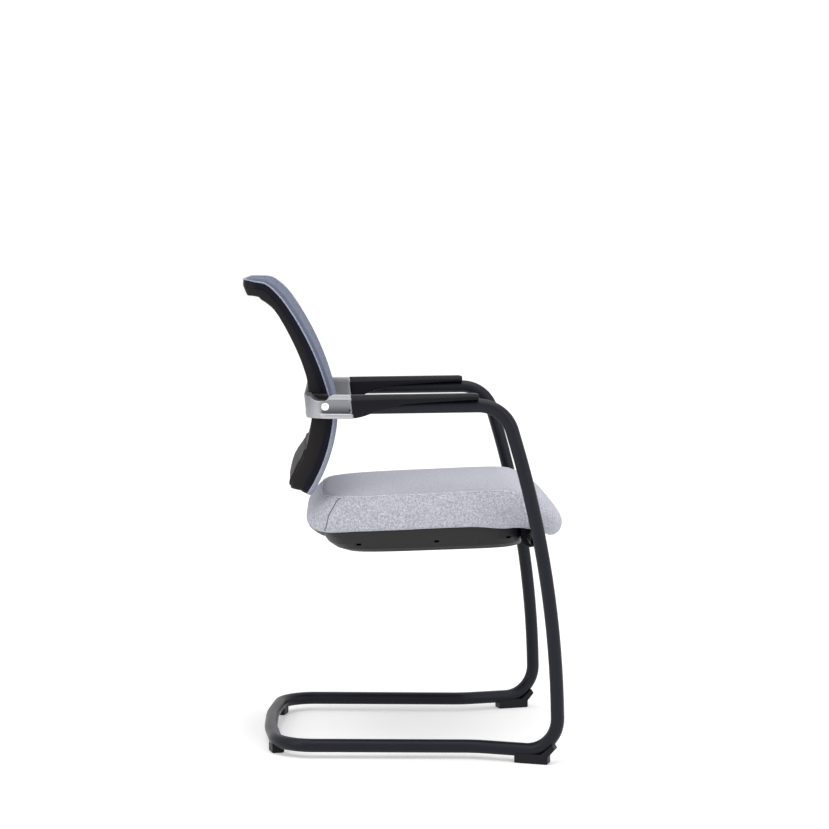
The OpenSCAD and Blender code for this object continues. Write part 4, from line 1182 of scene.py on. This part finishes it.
def u_plan(out, back, r, front, n):
    """Points of half a U from the front of the +x leg to the middle of the back."""
    leg = front - back - r
    span = leg + r * math.pi / 2 + out - r
    plan = []
    for k in range(n + 1):
        d = span * k / n
        if d < leg:
            plan.append((out, front - d))
        elif d < leg + r * math.pi / 2:
            a = (d - leg) / r
            plan.append((out - r + r * math.cos(a), back + r - r * math.sin(a)))
        else:
            plan.append((out - r - (d - leg - r * math.pi / 2), back))
    return plan


def yoke_section(s, x):
    """The outer face at depth s as points of (inward, height), then the top's height and an edge's round."""
    sunk = RECESS * smooth(CAP_S - 12, CAP_S - 5, s)
    dip = DIP * smooth(66, 87, s) * smooth(110, 101, s) * smooth(238, 262, abs(x))
    top, c = YOKE_H - dip, 1.6
    web_top = min(YOKE_H - LIP_HIGH, top - 3.2)
    outer = [(0, c), (0, LIP_LOW - 1.4), (sunk * 0.2, LIP_LOW - 0.5)]
    outer += [(sunk, LIP_LOW + 0.9), (sunk, LIP_LOW + 3)]
    outer += [(sunk, LIP_LOW + (YOKE_H - LIP_LOW - LIP_HIGH) * k) for k in (0.35, 0.5, 0.65)]
    outer += [(sunk, web_top - 3), (sunk, web_top - 0.9), (sunk * 0.2, web_top + 0.5)]
    outer += [(0, min(web_top + 1.4, top - 2)), (0, top - c)]
    return outer, top, c


N_HALF = 92


def yoke_ring(i):
    """One closed section of the yoke as points, station i of 0 to 2 * N_HALF."""
    k = min(i, 2 * N_HALF - i)
    side = 1 if i <= N_HALF else -1
    outer_x, outer_s = OUTER_PLAN[k]
    inner_x, inner_s = INNER_PLAN[k]
    outer, top, c = yoke_section(outer_s, outer_x)
    gap, r = math.hypot(outer_x - inner_x, outer_s - inner_s), c * 0.3
    loop = [(r, r), *outer, (r, top - r), (c, top), (gap * 0.35, top), (gap * 0.65, top), (gap - c, top)]
    loop += [(gap - r, top - r), (gap, top - c)] + [(gap, top * f) for f in (0.75, 0.5, 0.25)]
    loop += [(gap, c), (gap - r, r), (gap - c, 0), (gap * 0.65, 0), (gap * 0.35, 0), (c, 0)]
    points = []
    for inward, z in loop:
        f, up = inward / gap, z - YOKE_H / 2
        x, s = outer_x + (inner_x - outer_x) * f, outer_s + (inner_s - outer_s) * f
        if k == 0:
            s = YOKE_FRONT - up * LEAN
        s -= REAR_LEAN * up * (1 - f) * smooth(98, 76, outer_s)
        points.append(at(side * x, s, YOKE_Z + z))
    return points


OUTER_PLAN = u_plan(YOKE_OUT, YOKE_BACK, YOKE_R, YOKE_FRONT, N_HALF)
INNER_PLAN = u_plan(YOKE_IN, YOKE_BACK + YOKE_T, YOKE_R - 13.5, YOKE_FRONT, N_HALF)
print("yoke plan:", len(OUTER_PLAN), "stations a side")


# %% Sweep the yoke
def swept(rings, caps=True):
    """A closed skin over rings that have the same number of points. Without caps its ends must meet."""
    n, m = len(rings[0]), len(rings)

    def place(u, w):
        return rings[round(w * (m - 1))][round(u * n) % n]

    return closed_up(formed_grid(n, m - 1, place), caps)


def painted_yoke_light(v):
    """Light and shade painted into the yoke's colour: painted shade in the recess, darker towards its
    bottom, painted highlights on the lips, painted reflection bands on the rear wrap, and a painted shade
    spot where the top edge dips.
    """
    x, s, z = abs(v.co.x) * 1000, REAR_Y - v.co.y * 1000, v.co.z * 1000 - YOKE_Z
    if x < YOKE_IN + 1 and s > YOKE_BACK + 12:
        # Inner faces: mid painted shade, with painted highlights on the top and front lips
        top_lip, front_lip = smooth(YOKE_H - 8, YOKE_H - 6, z), smooth(YOKE_FRONT - 5, YOKE_FRONT - 3, s)
        value = max(0.42, 0.6 * top_lip, 0.75 * front_lip)
    else:
        # Painted highlights on the lower, upper and front lips
        lips = 0.86 * smooth(LIP_LOW + 0.6, LIP_LOW - 0.6, z)
        lips = max(lips, 0.9 * smooth(YOKE_H - LIP_HIGH - 0.6, YOKE_H - LIP_HIGH + 0.6, z))
        lips = max(lips, 0.8 * smooth(YOKE_FRONT - 4, YOKE_FRONT - 2, s + (z - YOKE_H / 2) * LEAN))
        # Painted shade in the recess, darker towards its bottom
        web = 0.02 + 0.42 * smooth(LIP_LOW + 1, YOKE_H - LIP_HIGH - 6, z)
        leg = smooth(CAP_S - 10, CAP_S - 5, s)
        # Painted reflection bands on the rear wrap, a little lighter at its bottom
        wrap = 0.5 + 0.14 * math.sin(s / 6) + 0.1 * smooth(30, 10, z)
        value = max(lips, web) * leg + wrap * (1 - leg)
    # Painted shade on the upward faces where the top edge dips under the backrest's rails
    painted_dip_shade = smooth(73, 78, s) * smooth(112, 108, s) * smooth(250, 262, x) * smooth(0.6, 0.8, v.normal.z)
    return value * (1 - painted_dip_shade)


yoke = swept([yoke_ring(i) for i in range(2 * N_HALF + 1)])
modify(yoke, "BEVEL", width=0.0009, segments=2, limit_method="ANGLE", angle_limit=math.radians(50))
# This attribute carries the light and shade painted into the yoke's colour
painted_light = yoke.data.attributes.new("painted_light", "FLOAT", "POINT")
for v in yoke.data.vertices:
    painted_light.data[v.index].value = painted_yoke_light(v)
finishes["yoke_faces"] = cast_aluminium("yoke_faces", "painted_light")
finish_piece(yoke, "yoke_casting", "yoke_faces", 40)
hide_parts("yoke")
print("yoke:", len(yoke.data.polygons), "faces")

# %% [markdown]
# ## Caps on the yoke
# A polished cap hides the bolt that holds the backrest in each leg. It is a shallow dome with a
# rolled edge, turned about its own axis, and so smooth that it shows the white room.

# %% Two domed caps
SIDES = ((-1, "right"), (1, "left"))
# The dome's outline at radius 8: its radius and height from the middle out
DOME = [
    (0, 2.3), (1.6, 2.26), (3.2, 2.1), (4.8, 1.75), (6.2, 1.15), (7.2, 0.4), (7.8, -0.5), (8.0, -1.4),
    (8.0, -3.5),
]
DOME_ROWS = [(k / (len(DOME) - 1), *row) for k, row in enumerate(DOME)]
for side, word in SIDES:
    low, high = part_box(f"yoke_cap_{word}")
    mid, face = (low + high) / 2, side * max(abs(low.x), abs(high.x))
    scale = (high.z - low.z) * 500 / DOME[-1][0]

    def dome_place(u, w):
        r, h = table(DOME_ROWS, w)
        turn, reach = 2 * math.pi * u, r * scale / 1000
        out = face + side * (h - DOME[0][1]) / 1000
        return Vector((out, mid.y + reach * math.cos(turn), mid.z + reach * math.sin(turn)))

    cap = closed_up(formed_grid(40, 24, dome_place))
    finish_piece(cap, f"domed_cap_{word}", "polished_cap", 60)
    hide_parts(f"yoke_cap_{word}")
print(f"two domed caps, radius {DOME[-1][0] * scale:.1f} mm")

# %% [markdown]
# ## Arm pads
# Each pad is a moulded sleeve pushed over the arm tube. It is as deep as the yoke where it meets
# it, rises to the tube's middle within a hand's width and then thins out towards its tip. The
# upper edges carry a flat chamfer, wide at the rear and narrow at the front, which is what catches
# the light in the photograph. Sections along the arm, swept, give all of it.

# %% Pad sections
PAD_FROM, PAD_L, PAD_HALF, PAD_TOP = YOKE_FRONT - ARM_END_S + 0.5, 229, 20, 22.5
# Along the pad, the height of its underside over the tube's middle
PAD_LOW = [
    (0, -18.6), (8, -18.4), (20, -15.6), (32, -11.6), (40, -7.0), (60, -3.4), (92, 5.2), (160, 9.2),
    (229, 12.2),
]


def pad_ring(side, along):
    """The pad's section at that length from the yoke."""
    low = table(PAD_LOW, along)[0]
    f = 9.0 - 3.6 * along / PAD_L
    end = smooth(6, 0, PAD_L - along)
    top = PAD_TOP - 1.5 * end
    half = PAD_HALF - 1.2 * end - 0.6 * (1 - smooth(0, 2, along))
    edge, flat = top - f, half - f
    loop = [(half - 2, low), (half - 0.6, low + 0.4), (half, low + 2), (half, (low + edge) / 2)]
    loop += [(half, edge - 2), (half - 0.15, edge - 0.8), (half - 0.6, edge + 0.3)]
    loop += [(half - f * 0.5, top - f * 0.5), (flat + 0.4, top - 0.5)]
    loop += [(flat - 0.8, top - 0.05), (flat - 2, top), (flat * 0.5, top + 0.35)]
    loop = loop + [(0, top + 0.45)] + [(-x, z) for x, z in reversed(loop)]
    points = []
    for x, z in loop + [(-half * 0.4, low), (half * 0.4, low)]:
        d = PAD_FROM + along - z * math.tan(PAD_TILT - ARM_SLOPE) * smooth(14, 0, along)
        s = ARM_END_S + d * math.cos(ARM_SLOPE) - z * math.sin(ARM_SLOPE)
        h = arm_z(ARM_END_S) + d * math.sin(ARM_SLOPE) + z * math.cos(ARM_SLOPE)
        points.append(at(side * ARM_X + x, s, h))
    return points


STATIONS = [0, 0.8, 2] + [2 + 219 * k / 46 for k in range(1, 46)] + [222.5, 225, 227, 228.3, PAD_L]
for side, word in SIDES:
    pad = swept([pad_ring(side, a) for a in STATIONS])
    modify(pad, "BEVEL", width=0.0007, segments=2, limit_method="ANGLE", angle_limit=math.radians(48))
    finish_piece(pad, f"arm_pad_{word}_sleeve", "arm_pad", 30)
    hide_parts(f"arm_pad_{word}")
print("two arm pads,", len(pad.data.polygons), "faces each")

# %% [markdown]
# ## The back frame
# Behind the knit runs a moulded rim: two deep side rails, a curled top and a wide lower crossbar
# round an open window. It is one ring in plan with a section that changes along the way, so it is
# swept like the yoke, but round a closed path. The outer side has two facets: the front one stands
# proud, and a step of three millimetres parts it from the rear one. It makes the deep rails look
# slim, as on the real chair. The lower crossbar swells behind the rails, and a narrow slit is cut
# where each rail meets the swell.

# %% Round the window
WIN_HALF, WIN_R = 193, 26
WIN_LOW, WIN_HIGH = v_at(489.42 + 116), v_at(879.1 - 62)
# Height of the backrest's line, and how deep the rim is behind it there
RAIL_DEPTH = [
    (489.4, 31), (491.1, 33.8), (500, 37.8), (505, 39), (520, 38), (535, 37), (550, 36.8), (563, 37.2),
    (592, 38.1), (617, 39.1), (636.7, 38.6), (682, 34), (714.7, 27.8), (748.7, 25.8), (794, 24.2),
    (839, 22), (852, 22.8), (869, 27.6), (876, 26), (879, 24),
]
BAR_DEPTH = [
    (489.4, 31), (493.4, 38), (500.9, 42.4), (509, 44.8), (516.9, 46.6), (525.5, 47.8), (534.6, 47.2),
    (544, 45.2), (553, 43), (571, 39.2), (580, 38.2), (605, 37.6), (617, 39),
]
# The section's outer and inner side: depth is a + b times the rim's depth, and how far it is set in
OUTER = [
    (0.5, 0, 0.4), (2.2, 0, 0), (8.4, 0, 0), (9.6, 0, 0.7), (10.2, 0, 2.7), (12, 0, 3.1), (0, 0.8, 3.2),
    (0, 0.94, 4.4), (0, 1, 7),
]
INNER = [(0, 1, 5), (0, 0.965, 1.6), (0, 0.84, 0), (0, 0.06, 0), (0.5, 0, 0.8)]
HANG = 4.8
BACK_STEPS, LIP_END, YOKE_FACE_S = 6, 9, YOKE_BACK + YOKE_T + 0.8


def rounded_box(half, low, high, a, b):
    """Points round a box from the middle of its lower edge, in equal counts. Its lower corners have
    radius a and its upper ones radius b."""
    quarter = [math.pi / 2 * k / 9 for k in range(9)]
    points = [((half - a) * k / 14, low) for k in range(14)]
    points += [(half - a + a * math.sin(t), low + a - a * math.cos(t)) for t in quarter]
    points += [(half, low + a + (high - b - low - a) * k / 64) for k in range(64)]
    points += [(half - b + b * math.cos(t), high - b + b * math.sin(t)) for t in quarter]
    points += [((half - b) * (1 - k / 14), high) for k in range(14)]
    return points + [(0, high)] + [(-x, v) for x, v in reversed(points[1:])]


def rim_depth(x, v):
    """How deep the rim is there: slim side rails, and a lower bar that swells between them."""
    s, z, h = table(BACK_LINE, v)
    depth = table(RAIL_DEPTH, z)[0]
    if z < BAR_DEPTH[-1][0]:
        swell = table(BAR_DEPTH, z)[0] - 1.6 - 6 * (x / 190) ** 2
        depth += max(swell - depth, 0) * smooth(214, 196, abs(x))
    if v > BACK_L - LIP_END:
        depth = 24 - 17 * (v - BACK_L + LIP_END) / LIP_END
    if 634 < z < 682:
        # The yoke's bar passes here, so the rim keeps clear of it
        room = (s - YOKE_FACE_S) / math.cos(math.radians(h))
        depth = min(depth, room + 6 * (1 - smooth(634, 637, z)) + 6 * smooth(679.4, 682, z))
    return depth


def on_rim(x, v, d):
    """A point of the rim or its cover. The rear of the lower edge hangs a few millimetres."""
    point = on_back(x, v, d)
    point.z -= HANG / 1000 * smooth(8, 36, d) * smooth(34, 2, v)
    return point


def between(start, end):
    """Even steps from start to end, without the two themselves."""
    shares = [k / BACK_STEPS for k in range(1, BACK_STEPS)]
    return [tuple(p + (q - p) * f for p, q in zip(start, end)) for f in shares]


def outer_loop(i):
    """The rim's outline in plan, set in by i: all of it from the sides, less from the two ends."""
    end = 0.2 + 0.3 * i
    return rounded_box(BACK_HALF - i, end, BACK_L - end, LOW_R, TOP_R)


def window_loop(i):
    """The window's outline in plan, made larger by i."""
    return rounded_box(WIN_HALF + i, WIN_LOW - i, WIN_HIGH + i, WIN_R + i, WIN_R + i)


def rim_rings():
    """The rim's section at each step round it, as closed rings of points."""
    outer, inner = [outer_loop(o[2]) for o in OUTER], [window_loop(i[2]) for i in INNER]
    rings = []
    for k in range(len(outer[0])):
        plan = [(*outer[n][k], a, b) for n, (a, b, _) in enumerate(OUTER)]
        walls = [(*inner[n][k], a, b) for n, (a, b, _) in enumerate(INNER)]
        ring = []
        for x, v, a, b in plan + between(plan[-1], walls[0]) + walls + between(walls[-1], plan[0]):
            depth = rim_depth(x, v)
            d = min(a + b * depth, max(0.96 * depth, b * depth))
            ring.append(on_rim(x, v, d + (edge_depth(v) + 0.5) * max(0, 1 - d / 14)))
        rings.append(ring)
    return rings + [rings[0]]


def slit_line(side):
    """Down the rear edge of a rail, drawing inward by 1.6 mm on the way."""
    spots = []
    for k in range(17):
        v = v_at(594) + (v_at(550) - v_at(594)) * k / 16
        spots.append(on_back(side * (214.6 - 1.6 * k / 16), v, rim_depth(213, v) - 0.4))
    return spots


def behind_line(p):
    """Distance of a point from the backrest's line as seen from the side, in millimetres."""
    s, z = REAR_Y - p.y * 1000, p.z * 1000
    return min(math.hypot(row[1] - s, row[2] - z) for row in BACK_LINE)


rim = swept(rim_rings(), caps=False)
for side, _ in SIDES:
    slit = rod(slit_line(side), 0.0021, 12)
    modify(rim, "BOOLEAN", operation="DIFFERENCE", object=slit, solver="EXACT")
    bpy.data.objects.remove(slit)
strip = rim.data.attributes.new("strip", "FLOAT", "POINT")
for v in rim.data.vertices:
    strip.data[v.index].value = smooth(14, 10, behind_line(v.co)) * smooth(205, 212, abs(v.co.x) * 1000)
finish_piece(rim, "back_rim", "back_plastic", 32)
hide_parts("back_frame")
print("back rim:", len(rim.data.polygons), "faces")

# %% [markdown]
# ## The binding of the knit
# Where the knit meets the rim, its cut edge is bound in light grey yarn. It reads as a thin bright
# line between the black rail and the blue knit, all the way round.

# %% Edge binding
def binding_finish():
    f = Finish("knit_binding", Specular_IOR_Level=0.2, Sheen_Weight=0.3)
    yarn = f.noise(f.place(), 1.6, 3, 0.6)
    twist = f.noise(f.place(stretch=(1, 1, 2.5)), 2.4, 2, 0.5)
    f.mix((yarn * 0.6 + twist * 0.4).step(0.35, 0.65), paint(128, 133, 150), paint(186, 190, 206))
    f.use(Roughness=yarn * 0.15 + 0.75)
    f.relief(yarn, 0.3, 0.6)
    return f.material


finishes["binding"] = binding_finish()
loop = rounded_box(BACK_HALF - 0.9, 0.9, BACK_L - 0.9, LOW_R, TOP_R)
binding = rod([on_back(x, v, edge_depth(v) - 1) for x, v in loop], 0.0016, 10, closed=True)
finish_piece(binding, "knit_binding", "binding", 180)
print("binding:", len(binding.data.polygons), "faces")

# %% [markdown]
# ## The rear cover
# A cover hides the clips of the lower bar. It is a thin shell that follows the bar's swell and
# stands a little proud of it, with round corners and a rolled edge. The grid's rows crowd towards
# the edges, because that is where the shell turns down into the rim.

# %% The rear cover
COVER_HALF, COVER_LOW, COVER_HIGH, COVER_R = 204, v_at(495), v_at(561.4), 14
COVER_ROLL, COVER_SUNK, COVER_RISE = 2.6, 2.4, 4.1


def cover_place(u, w):
    """A point of the cover, which turns down into the rim over its last millimetres."""
    t = 2 * u - 1
    x = COVER_HALF * (1.5 * t - 0.5 * t**3)
    v = COVER_LOW + (COVER_HIGH - COVER_LOW) * smooth(0, 1, w)
    a, b = COVER_HALF - abs(x), min(v - COVER_LOW, COVER_HIGH - v)
    inside = COVER_R - math.hypot(COVER_R - a, COVER_R - b) if max(a, b) < COVER_R else min(a, b)
    k = min(1, max(0, inside / COVER_ROLL))
    return on_rim(x, v, rim_depth(x, v) - COVER_SUNK + COVER_RISE * math.sqrt(k * (2 - k)))


cover = formed_grid(130, 56, cover_place)
modify(cover, "SOLIDIFY", thickness=0.0022, offset=-1.0)
closed_up(cover, caps=False)
finish_piece(cover, "rear_cover", "cover_plastic", 50)
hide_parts("lower_cover")
print("rear cover:", len(cover.data.polygons), "faces")

# %% [markdown]
# ## Small black pieces
# The pan's rear edge rolls outward under the cushion, which shows as a thin dark wedge below the
# felt. Two saddles clamp the seat to the cross tube just inside the uprights. And each yoke leg
# has a grub screw low down at its front, which holds it on the arm tube.

# %% Rolled rear edge of the pan
# Points of the lip's section: how far outside the pan's own edge, and how far over its rim
LIP_SECTION = [(-18, -14), (-11, -9), (-4.5, -3), (-1, 0.6), (0, 2), (-1, 2.8), (-6, 2), (-18, 0.4)]


def pan_lip_ring(t):
    """The lip's section at angle t round the pan."""
    ring = []
    for out, up in LIP_SECTION:
        x, y = squared_oval(t, BOARD_HALF + out, REAR - 5 + out, NOSE, 5)
        ring.append(on_seat(x, y, RIM + up - 0.6))
    return ring


lip = swept([pan_lip_ring(math.pi * (0.12 + 0.76 * k / 120)) for k in range(121)])
finish_piece(lip, "pan_lip", "pan_plastic", 60)
print("pan lip:", len(lip.data.polygons), "faces")

# %% Saddles on the cross tube, and the yoke's two small screws
# The saddle's section behind and above the cross tube's middle, and its size across the width
SADDLE = [
    (20, 19.5), (20.5, 0), (20, -6), (17.5, -12), (12, -18), (5, -21.5), (-4, -20.5), (-10, -16),
    (-13.5, -9), (-14, 0), (-14, 19.5),
]
SADDLE_SIZES = [(178, 0.95), (179, 1), (186, 1), (195, 1), (202, 1), (203, 0.95)]
# Depth and height of the small screw in each side of the yoke
SCREW_S, SCREW_Z = 145.2, 652
for side, word in SIDES:
    rings = [[on_seat(side * x, y * k + 6 * (1 - k), z * k) for y, z in SADDLE] for x, k in SADDLE_SIZES]
    saddle = swept(rings)
    modify(saddle, "BEVEL", width=0.0015, segments=3, limit_method="ANGLE", angle_limit=math.radians(40))
    finish_piece(saddle, f"saddle_{word}", "saddle", 40)
    screw = rod([at(side * (YOKE_OUT - RECESS - d), SCREW_S, SCREW_Z) for d in (3, 1, -0.25)], 0.0019, 16)
    finish_piece(screw, f"grub_screw_{word}", "black_steel", 50)
print("two saddles and two grub screws")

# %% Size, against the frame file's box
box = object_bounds()
changes = [round(abs(b - a) * 1000, 1) for a, b in zip((*cad_box[0], *cad_box[1]), (*box[0], *box[1]))]
print("each side moved by", changes, "mm")
